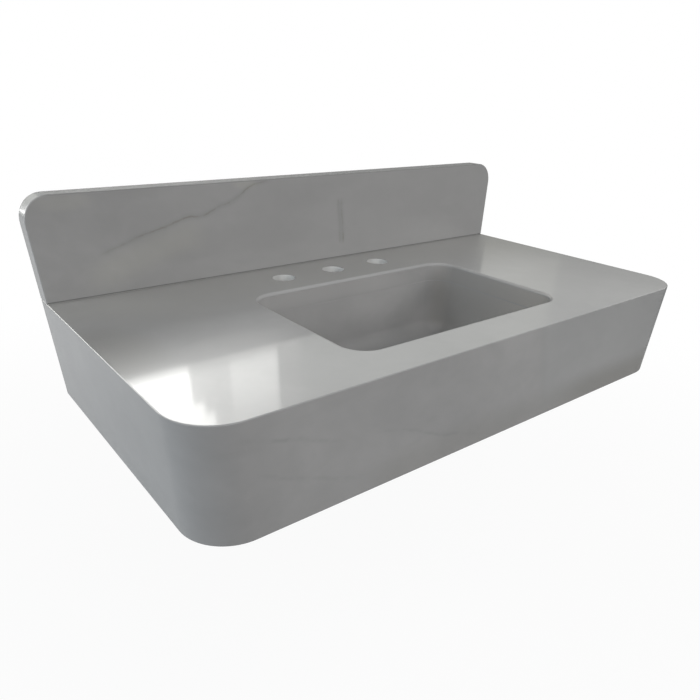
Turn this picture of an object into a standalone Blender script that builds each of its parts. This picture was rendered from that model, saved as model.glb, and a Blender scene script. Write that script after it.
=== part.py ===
"""A wall-hung marble sink, built up from slabs of stone on a hidden steel support.

The deck slab has a mitred edge all round its front and sides, and the apron's straight
panels and quarter-round corner blocks close against that mitre. A basin carved from one
block hangs under the cut-out on clips, and a click waste closes its outlet.

Frame: the wall is the plane y = 0, the room lies towards -Y, +Z is up and x = 0 is the
sink's centre line. The origin is the middle of the rear face of the steel cleat that
carries the deck's back edge and is screwed to the wall. All sizes are in metres.
"""

import math

import bmesh
import bpy

# Slabs
sink_width = 0.915
sink_depth = 0.488
apron_height = 0.151
slab_thickness = 0.030
corner_radius = 0.064
edge_ease = 0.0015
mitre_lip = 0.003
splash_height = 0.139
splash_thickness = 0.030
splash_corner_radius = 0.036

# Cut-out and tap holes in the deck
opening_width = 0.405
opening_front_border = 0.068
opening_to_tap_holes = 0.045
opening_corner_radius = 0.036
opening_ease = 0.005
tap_hole_diameter = 0.038
tap_hole_spacing = 0.1016
tap_hole_setback = 0.092

# Basin
basin_wall = 0.018
basin_flange_projection = 0.014
basin_flange_thickness = 0.020
basin_floor_thickness = 0.019
basin_draft = 0.0015
basin_inner_fillet = 0.028
basin_outer_fillet = 0.024
basin_underside_recess = 0.001
outlet_fall = 0.003
outlet_hole_play = 0.0025

# Joints between the pieces
fit_gap = 0.0003
basin_sealant_thickness = 0.001
basin_sealant_width = 0.0225
splash_sealant_thickness = 0.0012
sealant_recess = 0.0005
pad_thickness = 0.002
pad_margin = 0.001

# Rear cleat, a steel angle
cleat_leg = 0.050
cleat_thickness = 0.006
cleat_root_radius = 0.005
cleat_toe_radius = 0.003
cleat_hole_diameter = 0.009
cleat_inner_hole_place = 0.060
cleat_outer_hole_to_end = 0.045
cleat_to_bracket = 0.020

# Wall brackets, welded from flat bar
bracket_to_clips = 0.0055
arm_to_apron = 0.040
arm_width = 0.050
arm_thickness = 0.008
arm_end_radius = 0.012
plate_width = 0.060
plate_height = 0.110
plate_thickness = 0.008
gusset_thickness = 0.006
gusset_side_offset = 0.020
gusset_to_arm_end = 0.080
gusset_toe = 0.014
wall_hole_diameter = 0.011
wall_hole_side_offset = 0.008
wall_hole_drop = 0.025
wall_hole_spacing = 0.055
weld_overlap = 0.002

# Deck bolts, washers and inserts
bolt_diameter = 0.008
bolt_head_flats = 0.013
bolt_head_height = 0.0053
bolt_grip_in_insert = 0.011
bolt_side_offset = 0.005
bolt_rear_setback = 0.080
bolt_to_arm_end = 0.035
bolt_hole_play = 0.0005
washer_width = 0.0042
washer_thickness = 0.0016
insert_wall = 0.0017
insert_length = 0.014
insert_bore_spare_depth = 0.001

# Clips under the basin's flange
clip_to_opening_end = 0.0565
clip_width = 0.024
clip_thickness = 0.003
clip_to_basin_wall = 0.004
clip_stud_offset = 0.012
clip_heel_offset = 0.022
clip_bend_radius = 0.002
stud_diameter = 0.006
stud_depth_in_stone = 0.014
stud_tail = 0.010
stud_bore_spare_depth = 0.001
clip_nut_flats = 0.010
clip_nut_height = 0.005

# Waste
flange_diameter = 0.064
flange_rim_thickness = 0.0016
flange_seat_play = 0.0015
flange_gasket_thickness = 0.0008
flange_dish = 0.0006
waste_diameter = 0.041
waste_wall = 0.004
waste_length_below_basin = 0.036
throat_lip = 0.00125
throat_depth = 0.004
lower_gasket_diameter = 0.066
lower_gasket_thickness = 0.005
friction_washer_diameter = 0.064
friction_washer_thickness = 0.0015
lock_nut_flats = 0.058
lock_nut_height = 0.009
lock_nut_chamfer = 0.002
tailpiece_play = 0.0005
tailpiece_wall = 0.0015
tailpiece_length = 0.100
tailpiece_insertion = 0.014
tailpiece_collar_height = 0.006
tailpiece_collar_projection = 0.004
tail_seal_thickness = 0.0015

# Click plug and its cartridge
plug_diameter = 0.058
plug_rim_thickness = 0.0018
plug_crown = 0.003
plug_crown_radius_share = 0.35
plug_stem_diameter = 0.008
plug_stem_length = 0.034
plug_seal_to_throat = 0.00125
plug_seal_width = 0.0035
plug_seal_thickness = 0.0018
spider_depth = 0.026
spider_height = 0.005
spoke_width = 0.0025
hub_wall = 0.00295
cartridge_wall = 0.0032
cartridge_collar_projection = 0.002
cartridge_collar_height = 0.003
cartridge_tail = 0.012

# Roundness and cutting
cut_overrun = 0.010
corner_steps = 14
opening_steps = 8
ease_steps = 3
fillet_steps = 6
large_round_sides = 36
small_round_sides = 18
smooth_angle = 32

# Sizes of one piece that follow from its neighbours
waste_bore = waste_diameter - 2 * waste_wall
throat_diameter = waste_diameter - 2 * throat_lip
outlet_hole_diameter = waste_diameter + 2 * outlet_hole_play
tailpiece_diameter = waste_bore - 2 * tailpiece_play
tailpiece_collar_diameter = tailpiece_diameter + 2 * tailpiece_collar_projection
cartridge_bore = plug_stem_diameter + 2 * fit_gap
cartridge_diameter = cartridge_bore + 2 * cartridge_wall
cartridge_collar_diameter = cartridge_diameter + 2 * cartridge_collar_projection
hub_bore = cartridge_diameter + 2 * fit_gap
hub_diameter = hub_bore + 2 * hub_wall
plug_seal_inner_diameter = throat_diameter + 2 * plug_seal_to_throat
plug_seal_outer_diameter = plug_seal_inner_diameter + 2 * plug_seal_width
bolt_clear_diameter = bolt_diameter + 2 * fit_gap
insert_diameter = bolt_clear_diameter + 2 * insert_wall
washer_diameter = bolt_clear_diameter + 2 * washer_width

# Heights, from the cleat up to the deck and down to the waste
steel_top = cleat_leg / 2
deck_bottom = steel_top + fit_gap + pad_thickness + fit_gap
deck_top = deck_bottom + slab_thickness
apron_bottom = deck_top - apron_height
splash_bottom = deck_top + fit_gap + splash_sealant_thickness + fit_gap
splash_top = deck_top + splash_height
basin_rim = deck_bottom - fit_gap - basin_sealant_thickness - fit_gap
basin_bottom = apron_bottom + basin_underside_recess
basin_floor = basin_bottom + basin_floor_thickness
outlet_level = basin_floor - outlet_fall
flange_top = outlet_level - fit_gap
flange_bottom = flange_top - flange_rim_thickness
flange_seat = flange_bottom - fit_gap - flange_gasket_thickness - fit_gap
waste_bottom = basin_bottom - waste_length_below_basin

# Places on the plan
opening_rear = tap_hole_setback + tap_hole_diameter / 2 + opening_to_tap_holes
opening_length = sink_depth - opening_front_border - opening_rear
opening_middle = -opening_rear - opening_length / 2
basin_flange = basin_wall + basin_flange_projection
flange_edge_x = opening_width / 2 + basin_flange
stud_x = flange_edge_x + clip_stud_offset
clip_plate_top = basin_rim - basin_flange_thickness - fit_gap
clip_row_offset = opening_length / 2 - clip_to_opening_end
clip_edge_x = flange_edge_x + clip_heel_offset + clip_thickness
bracket_x = clip_edge_x + bracket_to_clips + plate_width / 2
bolt_x = bracket_x - bolt_side_offset
cleat_half_length = bracket_x - plate_width / 2 - cleat_to_bracket
arm_length = sink_depth - slab_thickness - arm_to_apron
gusset_length = arm_length - gusset_to_arm_end
bolt_front_setback = arm_length - bolt_to_arm_end

sides = (("left", -1), ("right", 1))
bolt_rows = (("rear", -bolt_rear_setback), ("front", -bolt_front_setback))
clip_rows = (
    ("rear", opening_middle + clip_row_offset),
    ("front", opening_middle - clip_row_offset),
)


def clear_scene():
    for old in list(bpy.data.objects):
        bpy.data.objects.remove(old, do_unlink=True)


def finish(name, colour, roughness, metallic=0.0):
    """A Principled material."""
    made = bpy.data.materials.new(name)
    made.use_nodes = True
    shader = made.node_tree.nodes["Principled BSDF"]
    shader.inputs["Base Color"].default_value = (*colour, 1.0)
    shader.inputs["Roughness"].default_value = roughness
    shader.inputs["Metallic"].default_value = metallic
    made.diffuse_color = (*colour, 1.0)
    return made


# Drawing helpers: points on arcs, and rings of points at one height


def arc(centre, radius, start, end, steps):
    """Points along an arc round centre, from angle start to angle end in degrees."""
    angles = [math.radians(start + (end - start) * k / steps) for k in range(steps + 1)]
    return [
        (centre[0] + radius * math.cos(angle), centre[1] + radius * math.sin(angle))
        for angle in angles
    ]


def eased_edge(inner, outer_level, inner_level, steps):
    """(inset, level) pairs of a quarter-round edge, from the side face to the flat face."""
    sign = 1 if inner_level > outer_level else -1
    return [
        (inner - u, outer_level + sign * v)
        for u, v in arc((0, 0), inner, 0, 90, steps)
    ]


def sink_outline(inset):
    """The plan of the deck, open to the wall, with round front corners, moved in by inset."""
    centre_x = sink_width / 2 - corner_radius
    centre_y = corner_radius - sink_depth
    radius = corner_radius - inset
    half_width = sink_width / 2 - inset
    return [
        (-half_width, 0),
        *arc((-centre_x, centre_y), radius, 180, 270, corner_steps),
        *arc((centre_x, centre_y), radius, 270, 360, corner_steps),
        (half_width, 0),
    ]


def opening_outline(outset):
    """The plan of the cut-out, a rounded rectangle, moved out by outset."""
    radius = opening_corner_radius + outset
    reach_x = opening_width / 2 - opening_corner_radius
    reach_y = opening_length / 2 - opening_corner_radius
    points = []
    for turn, (sign_x, sign_y) in enumerate(((1, 1), (-1, 1), (-1, -1), (1, -1))):
        centre = (sign_x * reach_x, opening_middle + sign_y * reach_y)
        points += arc(centre, radius, 90 * turn, 90 * turn + 90, opening_steps)
    return points


def outlet_outline(radius):
    """A circle round the waste, with as many points as the cut-out's outline."""
    count = 4 * (opening_steps + 1)
    start = 180 / count
    return arc((0, opening_middle), radius, start, start + 360 - 360 / count, count - 1)


def splash_outline(inset):
    """The front view of the backsplash as (x, z), moved in by inset at its ends and top."""
    radius = splash_corner_radius - inset
    reach_x = sink_width / 2 - splash_corner_radius
    centre_z = splash_top - splash_corner_radius
    half_width = sink_width / 2 - inset
    return [
        (half_width, splash_bottom),
        *arc((reach_x, centre_z), radius, 0, 90, opening_steps),
        *arc((-reach_x, centre_z), radius, 90, 180, opening_steps),
        (-half_width, splash_bottom),
    ]


def hexagon(flats, count):
    """A hexagon's points, count of them evenly turned, as (x, y)."""
    points = []
    for k in range(count):
        angle = 360 * k / count
        from_flat = math.radians((angle % 60) - 30)
        radius = flats / 2 / math.cos(from_flat)
        points.append(
            (radius * math.cos(math.radians(angle)), radius * math.sin(math.radians(angle)))
        )
    return points


def circle(diameter, count):
    return arc((0, 0), diameter / 2, 0, 360 - 360 / count, count - 1)


# Building helpers: skins over rings, prisms, and cuts


def add_skin(bm, rings, joined=False):
    """Faces over a row of rings with equal point counts, capped, or joined end to end."""
    rows = [[bm.verts.new(point) for point in ring] for ring in rings]
    following = rows[1:] + rows[:1] if joined else rows[1:]
    count = len(rings[0])
    for lower, upper in zip(rows, following):
        for i in range(count):
            j = (i + 1) % count
            bm.faces.new((lower[i], lower[j], upper[j], upper[i]))
    if not joined:
        bm.faces.new(rows[0][::-1])
        bm.faces.new(rows[-1])


def make_object(name, bodies, material, joined=False):
    """One object from one or more rows of rings."""
    bm = bmesh.new()
    for rings in bodies:
        add_skin(bm, rings, joined)
    bmesh.ops.recalc_face_normals(bm, faces=bm.faces)
    mesh = bpy.data.meshes.new(name)
    bm.to_mesh(mesh)
    bm.free()
    mesh.shade_smooth()
    mesh.set_sharp_from_angle(angle=math.radians(smooth_angle))
    if material:
        mesh.materials.append(material)
    made = bpy.data.objects.new(name, mesh)
    bpy.context.scene.collection.objects.link(made)
    return made


def flat_ring(outline, level):
    return [(x, y, level) for x, y in outline]


def along_x(outline, start, end):
    """A prism's two rings, an outline in (y, z) drawn from x = start to x = end."""
    return [[(x, y, z) for y, z in outline] for x in (start, end)]


def along_y(outline, start, end):
    return [[(x, y, z) for x, z in outline] for y in (start, end)]


def along_z(outline, start, end):
    return [flat_ring(outline, level) for level in (start, end)]


def moved(outline, x, y):
    return [(x + u, y + v) for u, v in outline]


def rectangle(low_u, high_u, low_v, high_v):
    return [(low_u, low_v), (high_u, low_v), (high_u, high_v), (low_u, high_v)]


def combine(target, tool, operation):
    """Cut the tool from the target, or weld it on, and keep the tool out of the model."""
    tool.hide_render = True
    tool.display_type = "WIRE"
    step = target.modifiers.new(operation.lower(), "BOOLEAN")
    step.operation = operation
    step.solver = "EXACT"
    step.object = tool


def cut(target, bodies):
    tool = make_object(target.name + "_cutter", bodies, None)
    combine(target, tool, "DIFFERENCE")


def weld(target, label, bodies):
    tool = make_object(target.name + "_" + label, bodies, None)
    combine(target, tool, "UNION")


def turned(name, profile, material, level, sides_round, joined=False):
    """A turned piece on the waste's axis; its profile is (diameter, height above level)."""
    rings = [flat_ring(circle(diameter, sides_round), height) for diameter, height in profile]
    made = make_object(name, [rings], material, joined)
    made.location = (0, opening_middle, level)
    return made


# Stone pieces


def make_deck_slab(marble):
    edge = eased_edge(edge_ease, deck_top - edge_ease, deck_top, ease_steps)
    levels = [(slab_thickness - mitre_lip, deck_bottom), (0, deck_top - mitre_lip), *edge]
    rings = [flat_ring(sink_outline(inset), level) for inset, level in levels]
    slab = make_object("deck_slab", [rings], marble)
    cut(slab, [cut_out_rings(), *tap_hole_rings(), *fixing_bore_rings()])
    return slab


def cut_out_rings():
    """The cut-out's cutter: straight walls that flare at the top to round the edge over."""
    flare = eased_edge(opening_ease, deck_top - opening_ease, deck_top, ease_steps)
    levels = [(0, deck_bottom - cut_overrun), *flare, (opening_ease, deck_top + cut_overrun)]
    return [flat_ring(opening_outline(outset), level) for outset, level in levels]


def tap_hole_rings():
    hole = circle(tap_hole_diameter, large_round_sides)
    low, high = deck_bottom - cut_overrun, deck_top + cut_overrun
    return [
        along_z(moved(hole, place * tap_hole_spacing, -tap_hole_setback), low, high)
        for place in (-1, 0, 1)
    ]


def fixing_bore_rings():
    """Blind bores in the deck's underside for the inserts and the clips' studs."""
    insert_bore = circle(insert_diameter + 2 * fit_gap, small_round_sides)
    stud_bore = circle(stud_diameter + 2 * fit_gap, small_round_sides)
    insert_end = deck_bottom + insert_length + insert_bore_spare_depth
    stud_end = deck_bottom + stud_depth_in_stone + stud_bore_spare_depth
    low = deck_bottom - cut_overrun
    bodies = []
    for _, sign in sides:
        for _, y in bolt_rows:
            bodies.append(along_z(moved(insert_bore, sign * bolt_x, y), low, insert_end))
        for _, y in clip_rows:
            bodies.append(along_z(moved(stud_bore, sign * stud_x, y), low, stud_end))
    return bodies


def apron_profile():
    """The apron's section as (inset from the outer face, level), with its mitred top."""
    mitre_gap = fit_gap * math.sqrt(2)
    top_outer = deck_top - mitre_lip - mitre_gap
    top_inner = deck_bottom - fit_gap
    bottom_edge = eased_edge(edge_ease, apron_bottom + edge_ease, apron_bottom, ease_steps)
    return [
        *reversed(bottom_edge),
        (0, top_outer),
        (top_outer - top_inner, top_inner),
        (slab_thickness, top_inner),
        (slab_thickness, apron_bottom),
    ]


def make_straight_aprons(marble):
    section = apron_profile()
    reach = sink_width / 2 - corner_radius - fit_gap
    front = [
        [(x, inset - sink_depth, level) for inset, level in section] for x in (-reach, reach)
    ]
    make_object("front_apron", [front], marble)
    front_end = corner_radius + fit_gap - sink_depth
    for side, sign in sides:
        rings = [
            [(sign * (sink_width / 2 - inset), y, level) for inset, level in section]
            for y in (0, front_end)
        ]
        make_object("side_apron_" + side, [rings], marble)


def make_corner_aprons(marble):
    """Quarter-round blocks, the apron's section swept round the deck's front corners."""
    section = apron_profile()
    centre_x = sink_width / 2 - corner_radius
    centre_y = corner_radius - sink_depth
    for side, sign in sides:
        rings = []
        for k in range(corner_steps + 1):
            angle = math.radians(90 * k / corner_steps)
            across, forward = math.cos(angle), math.sin(angle)
            rings.append(
                [
                    (
                        sign * (centre_x + (corner_radius - inset) * across),
                        centre_y - (corner_radius - inset) * forward,
                        level,
                    )
                    for inset, level in section
                ]
            )
        make_object("apron_corner_" + side, [rings], marble)


def make_backsplash(marble):
    edge = eased_edge(edge_ease, edge_ease - splash_thickness, -splash_thickness, ease_steps)
    rings = [[(x, y, z) for x, z in splash_outline(inset)] for inset, y in [(0, 0), *edge]]
    return make_object("backsplash", [rings], marble)


def make_basin(marble):
    """One carved block: bowl, flange and outlet, its section closed all the way round."""
    bowl_bottom = arc(
        (basin_inner_fillet + basin_draft, basin_floor + basin_inner_fillet),
        basin_inner_fillet,
        180,
        270,
        fillet_steps,
    )
    inner = [(0, basin_rim), *[(-inset, level) for inset, level in bowl_bottom]]
    outer = arc(
        (basin_wall - basin_outer_fillet, basin_bottom + basin_outer_fillet),
        basin_outer_fillet,
        -90,
        0,
        fillet_steps,
    )
    flange = [
        (basin_wall, basin_rim - basin_flange_thickness),
        (basin_flange, basin_rim - basin_flange_thickness),
        (basin_flange, basin_rim),
    ]
    seat_radius = flange_diameter / 2 + flange_seat_play
    outlet = [
        (seat_radius, outlet_level),
        (seat_radius, flange_seat),
        (outlet_hole_diameter / 2, flange_seat),
        (outlet_hole_diameter / 2, basin_bottom),
    ]
    rings = [flat_ring(opening_outline(outset), level) for outset, level in inner]
    rings += [flat_ring(outlet_outline(radius), level) for radius, level in outlet]
    rings += [flat_ring(opening_outline(outset), level) for outset, level in outer + flange]
    return make_object("basin", [rings], marble, joined=True)


def make_sealants(sealant):
    low = basin_rim + fit_gap
    high = low + basin_sealant_thickness
    inner, outer = sealant_recess, sealant_recess + basin_sealant_width
    levels = [(inner, low), (inner, high), (outer, high), (outer, low)]
    rings = [flat_ring(opening_outline(outset), level) for outset, level in levels]
    make_object("basin_sealant", [rings], sealant, joined=True)
    half_width = sink_width / 2 - sealant_recess
    strip = rectangle(-half_width, half_width, sealant_recess - splash_thickness, -sealant_recess)
    level = deck_top + fit_gap
    body = along_z(strip, level, level + splash_sealant_thickness)
    make_object("backsplash_sealant", [body], sealant)


# Steel support


def make_rear_cleat(steel):
    """An angle with a rounded root and toes, and screw holes through its upright leg."""
    top, bottom = steel_top, steel_top - cleat_leg
    root = (-cleat_thickness - cleat_root_radius, top - cleat_thickness - cleat_root_radius)
    toe_down = (cleat_toe_radius - cleat_thickness, bottom + cleat_toe_radius)
    toe_out = (cleat_toe_radius - cleat_leg, top - cleat_thickness + cleat_toe_radius)
    section = [
        (0, top),
        (0, bottom),
        *arc(toe_down, cleat_toe_radius, 270, 180, ease_steps),
        *arc(root, cleat_root_radius, 0, 90, ease_steps),
        *arc(toe_out, cleat_toe_radius, 270, 180, ease_steps),
        (-cleat_leg, top),
    ]
    half = cleat_half_length
    cleat = make_object("rear_cleat", [along_x(section, -half, half)], steel)
    hole = circle(cleat_hole_diameter, small_round_sides)
    height = -cleat_thickness / 2
    bodies = [
        along_y(moved(hole, sign * place, height), -cleat_thickness - cut_overrun, cut_overrun)
        for _, sign in sides
        for place in (cleat_inner_hole_place, half - cleat_outer_hole_to_end)
    ]
    cut(cleat, bodies)


def make_wall_bracket(side, sign, steel):
    """Wall plate, arm and gusset welded into one bracket."""
    x = sign * bracket_x
    arm = rounded_bar(x, arm_width / 2, -weld_overlap, -arm_length)
    body = along_z(arm, steel_top - arm_thickness, steel_top)
    bracket = make_object("wall_bracket_" + side, [body], steel)
    plate = rectangle(x - plate_width / 2, x + plate_width / 2, -plate_thickness, 0)
    plate_low = steel_top - arm_thickness - plate_height
    weld(bracket, "plate", [along_z(plate, plate_low, steel_top - weld_overlap)])
    weld(bracket, "gusset", [gusset_rings(x, sign, plate_low)])
    cut(bracket, bracket_hole_rings(x, sign))


def rounded_bar(x, half_width, rear, front):
    """The plan of a flat bar along Y whose front end has rounded corners."""
    radius = arm_end_radius
    return [
        (x + half_width, rear),
        (x - half_width, rear),
        *arc((x - half_width + radius, front + radius), radius, 180, 270, fillet_steps),
        *arc((x + half_width - radius, front + radius), radius, 270, 360, fillet_steps),
    ]


def gusset_rings(x, sign, plate_low):
    under = steel_top - arm_thickness
    outline = [
        (-plate_thickness + weld_overlap, under + weld_overlap),
        (-plate_thickness + weld_overlap, plate_low + gusset_toe),
        (-plate_thickness - gusset_toe, plate_low + gusset_toe),
        (-gusset_length, under - gusset_toe),
        (-gusset_length, under + weld_overlap),
    ]
    middle = x + sign * gusset_side_offset
    return along_x(outline, middle - gusset_thickness / 2, middle + gusset_thickness / 2)


def bracket_hole_rings(x, sign):
    wall_hole = circle(wall_hole_diameter, small_round_sides)
    arm_hole = circle(bolt_diameter + 2 * bolt_hole_play, small_round_sides)
    hole_x = x - sign * wall_hole_side_offset
    first = steel_top - arm_thickness - wall_hole_drop
    bodies = [
        along_y(moved(wall_hole, hole_x, level), -plate_thickness - cut_overrun, cut_overrun)
        for level in (first, first - wall_hole_spacing)
    ]
    low = steel_top - arm_thickness - cut_overrun
    for _, y in bolt_rows:
        bodies.append(along_z(moved(arm_hole, sign * bolt_x, y), low, steel_top + cut_overrun))
    return bodies


def make_pads(rubber):
    low = steel_top + fit_gap
    high = low + pad_thickness
    half = cleat_half_length - pad_margin
    strip = rectangle(-half, half, pad_margin - cleat_leg, -pad_margin)
    make_object("cleat_pad", [along_z(strip, low, high)], rubber)
    bolt_hole = circle(bolt_diameter + 2 * bolt_hole_play, small_round_sides)
    for side, sign in sides:
        plan = rounded_bar(
            sign * bracket_x, arm_width / 2 - pad_margin, -pad_margin, pad_margin - arm_length
        )
        pad = make_object("bracket_pad_" + side, [along_z(plan, low, high)], rubber)
        bodies = [
            along_z(moved(bolt_hole, sign * bolt_x, y), low - cut_overrun, high + cut_overrun)
            for _, y in bolt_rows
        ]
        cut(pad, bodies)


def placed_rings(levels, x, y):
    """Rings from (outline, level) pairs, moved to x and y."""
    return [flat_ring(moved(outline, x, y), level) for outline, level in levels]


def make_deck_bolts(steel, brass):
    hexagon_head = hexagon(bolt_head_flats, small_round_sides)
    shank = circle(bolt_diameter, small_round_sides)
    washer_outer = circle(washer_diameter, small_round_sides)
    washer_inner = circle(bolt_clear_diameter, small_round_sides)
    insert_outer = circle(insert_diameter, small_round_sides)
    washer_top = steel_top - arm_thickness - fit_gap
    washer_low = washer_top - washer_thickness
    head_top = washer_low - fit_gap
    bolt = [
        (hexagon_head, head_top - bolt_head_height),
        (hexagon_head, head_top),
        (shank, head_top),
        (shank, deck_bottom + bolt_grip_in_insert),
    ]
    washer = [
        (washer_inner, washer_low),
        (washer_inner, washer_top),
        (washer_outer, washer_top),
        (washer_outer, washer_low),
    ]
    insert_top = deck_bottom + insert_length
    insert = [
        (washer_inner, deck_bottom),
        (washer_inner, insert_top),
        (insert_outer, insert_top),
        (insert_outer, deck_bottom),
    ]
    for side, sign in sides:
        for row, y in bolt_rows:
            place = side + "_" + row
            x = sign * bolt_x
            make_object("deck_bolt_" + place, [placed_rings(bolt, x, y)], steel)
            make_object("deck_washer_" + place, [placed_rings(washer, x, y)], steel, joined=True)
            make_object("deck_insert_" + place, [placed_rings(insert, x, y)], brass, joined=True)


def clip_profile(sign):
    """An angle clip as (x, z): a tongue under the flange and a heel up to the deck."""
    tip = flange_edge_x - basin_flange_projection + clip_to_basin_wall
    heel = flange_edge_x + clip_heel_offset
    plate_low = clip_plate_top - clip_thickness
    bend = (heel + clip_thickness - clip_bend_radius, plate_low + clip_bend_radius)
    outline = [
        (tip, clip_plate_top),
        (tip, plate_low),
        *arc(bend, clip_bend_radius, 270, 360, ease_steps),
        (heel + clip_thickness, deck_bottom - fit_gap),
        (heel, deck_bottom - fit_gap),
        (heel, clip_plate_top),
    ]
    return [(sign * x, z) for x, z in outline]


def make_clips(steel):
    stud = circle(stud_diameter, small_round_sides)
    clear_hole = circle(stud_diameter + 2 * fit_gap, small_round_sides)
    nut_outer = hexagon(clip_nut_flats, small_round_sides)
    plate_low = clip_plate_top - clip_thickness
    nut_top = plate_low - fit_gap
    nut_low = nut_top - clip_nut_height
    nut = [(clear_hole, nut_low), (clear_hole, nut_top), (nut_outer, nut_top), (nut_outer, nut_low)]
    for side, sign in sides:
        for row, y in clip_rows:
            place = side + "_" + row
            x = sign * stud_x
            body = along_y(clip_profile(sign), y - clip_width / 2, y + clip_width / 2)
            clip = make_object("basin_clip_" + place, [body], steel)
            low, high = plate_low - cut_overrun, clip_plate_top + cut_overrun
            cut(clip, [along_z(moved(clear_hole, x, y), low, high)])
            top = deck_bottom + stud_depth_in_stone
            rings = along_z(moved(stud, x, y), nut_low - stud_tail, top)
            make_object("clip_stud_" + place, [rings], steel)
            make_object("clip_nut_" + place, [placed_rings(nut, x, y)], steel, joined=True)


# Waste and plug, turned about the outlet's axis with heights above the flange's top


def make_waste_body(chrome):
    foot = waste_bottom - flange_top
    profile = [
        (flange_diameter, -flange_rim_thickness),
        (waste_diameter, -flange_rim_thickness),
        (waste_diameter, foot),
        (waste_bore, foot),
        (waste_bore, -throat_depth),
        (throat_diameter, -flange_dish),
        (flange_diameter, 0),
    ]
    body = turned("waste_body", profile, chrome, flange_top, large_round_sides, joined=True)
    low = -spider_depth - spider_height
    outer = circle(hub_diameter, small_round_sides)
    inner = circle(hub_bore, small_round_sides)
    hub = [
        flat_ring(inner, low),
        flat_ring(inner, -spider_depth),
        flat_ring(outer, -spider_depth),
        flat_ring(outer, low),
    ]
    hub_tool = make_object("waste_body_hub", [hub], None, joined=True)
    hub_tool.location = body.location
    combine(hub_tool, make_spokes(body.location, low), "UNION")
    combine(body, hub_tool, "UNION")


def make_spokes(location, low):
    """Three spokes from the hub's wall into the body's wall, a little lower than the hub."""
    start = (hub_bore + hub_diameter) / 4
    end = (waste_bore + waste_diameter) / 4
    bodies = []
    for turn in (0, 120, 240):
        across, along = math.sin(math.radians(turn)), math.cos(math.radians(turn))
        bar = rectangle(start, end, -spoke_width / 2, spoke_width / 2)
        outline = [(u * along - v * across, u * across + v * along) for u, v in bar]
        bodies.append(along_z(outline, low + spoke_width / 2, -spider_depth - spoke_width / 2))
    spokes = make_object("waste_body_spokes", bodies, None)
    spokes.location = location
    return spokes


def ring_profile(inner_diameter, outer_diameter, low, high):
    return [
        (inner_diameter, low),
        (inner_diameter, high),
        (outer_diameter, high),
        (outer_diameter, low),
    ]


def make_waste_rings(rubber, plastic, brass):
    """Gasket under the flange, and gasket, washer and nut below the basin."""
    clear = waste_diameter + 2 * fit_gap
    low = flange_seat + fit_gap - flange_top
    gasket = ring_profile(clear, flange_diameter, low, low + flange_gasket_thickness)
    turned("flange_gasket", gasket, rubber, flange_top, large_round_sides, joined=True)
    top = basin_bottom - fit_gap - flange_top
    low = top - lower_gasket_thickness
    gasket = ring_profile(clear, lower_gasket_diameter, low, top)
    turned("lower_gasket", gasket, rubber, flange_top, large_round_sides, joined=True)
    top = low - fit_gap
    low = top - friction_washer_thickness
    washer = ring_profile(clear, friction_washer_diameter, low, top)
    turned("friction_washer", washer, plastic, flange_top, large_round_sides, joined=True)
    top = low - fit_gap
    low = top - lock_nut_height
    bore = circle(clear, large_round_sides)
    flats = hexagon(lock_nut_flats, large_round_sides)
    narrow = circle(lock_nut_flats - lock_nut_chamfer, large_round_sides)
    rings = [
        flat_ring(bore, low),
        flat_ring(bore, top),
        flat_ring(flats, top),
        flat_ring(flats, low + lock_nut_chamfer),
        flat_ring(narrow, low),
    ]
    nut = make_object("lock_nut", [rings], brass, joined=True)
    nut.location = (0, opening_middle, flange_top)


def make_tailpiece(chrome, rubber):
    """A plain tube with a collar that closes on a seal at the foot of the waste body."""
    foot = waste_bottom - flange_top
    bore = tailpiece_diameter - 2 * tailpiece_wall
    collar_top = foot - fit_gap - tail_seal_thickness - fit_gap
    collar_low = collar_top - tailpiece_collar_height
    end = foot + tailpiece_insertion - tailpiece_length
    profile = [
        (bore, end),
        (bore, foot + tailpiece_insertion),
        (tailpiece_diameter, foot + tailpiece_insertion),
        (tailpiece_diameter, collar_top),
        (tailpiece_collar_diameter, collar_top),
        (tailpiece_collar_diameter, collar_low),
        (tailpiece_diameter, collar_low),
        (tailpiece_diameter, end),
    ]
    turned("tailpiece", profile, chrome, flange_top, large_round_sides, joined=True)
    seal = ring_profile(
        tailpiece_diameter + 2 * fit_gap,
        tailpiece_collar_diameter,
        collar_top + fit_gap,
        foot - fit_gap,
    )
    turned("tailpiece_seal", seal, rubber, flange_top, large_round_sides, joined=True)


def make_cartridge(plastic):
    """The click mechanism's sleeve, whose collar rests on the hub."""
    seat = fit_gap - spider_depth
    top = seat + cartridge_collar_height
    low = seat - spider_height - cartridge_tail
    profile = [
        (cartridge_bore, low),
        (cartridge_bore, top),
        (cartridge_collar_diameter, top),
        (cartridge_collar_diameter, seat),
        (cartridge_diameter, seat),
        (cartridge_diameter, low),
    ]
    turned("click_cartridge", profile, plastic, flange_top, small_round_sides, joined=True)


def make_plug(chrome, rubber):
    """The plug and its seal, hung on an empty on the line along which the plug travels."""
    seal_low = fit_gap
    seal_top = seal_low + plug_seal_thickness
    cap_low = seal_top + fit_gap
    rim_top = cap_low + plug_rim_thickness
    crown_width = plug_diameter * plug_crown_radius_share
    profile = [
        (plug_stem_diameter, cap_low - plug_stem_length),
        (plug_stem_diameter, cap_low),
        (plug_diameter, cap_low),
        (plug_diameter, rim_top),
        *crown_profile(crown_width, rim_top),
    ]
    axis = bpy.data.objects.new("plug_travel", None)
    axis.location = (0, opening_middle, flange_top)
    bpy.context.scene.collection.objects.link(axis)
    plug = turned("drain_plug", profile, chrome, 0, large_round_sides)
    ring = ring_profile(plug_seal_inner_diameter, plug_seal_outer_diameter, seal_low, seal_top)
    seal = turned("plug_seal", ring, rubber, 0, large_round_sides, joined=True)
    for piece in (plug, seal):
        piece.location = (0, 0, 0)
        piece.parent = axis


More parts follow.
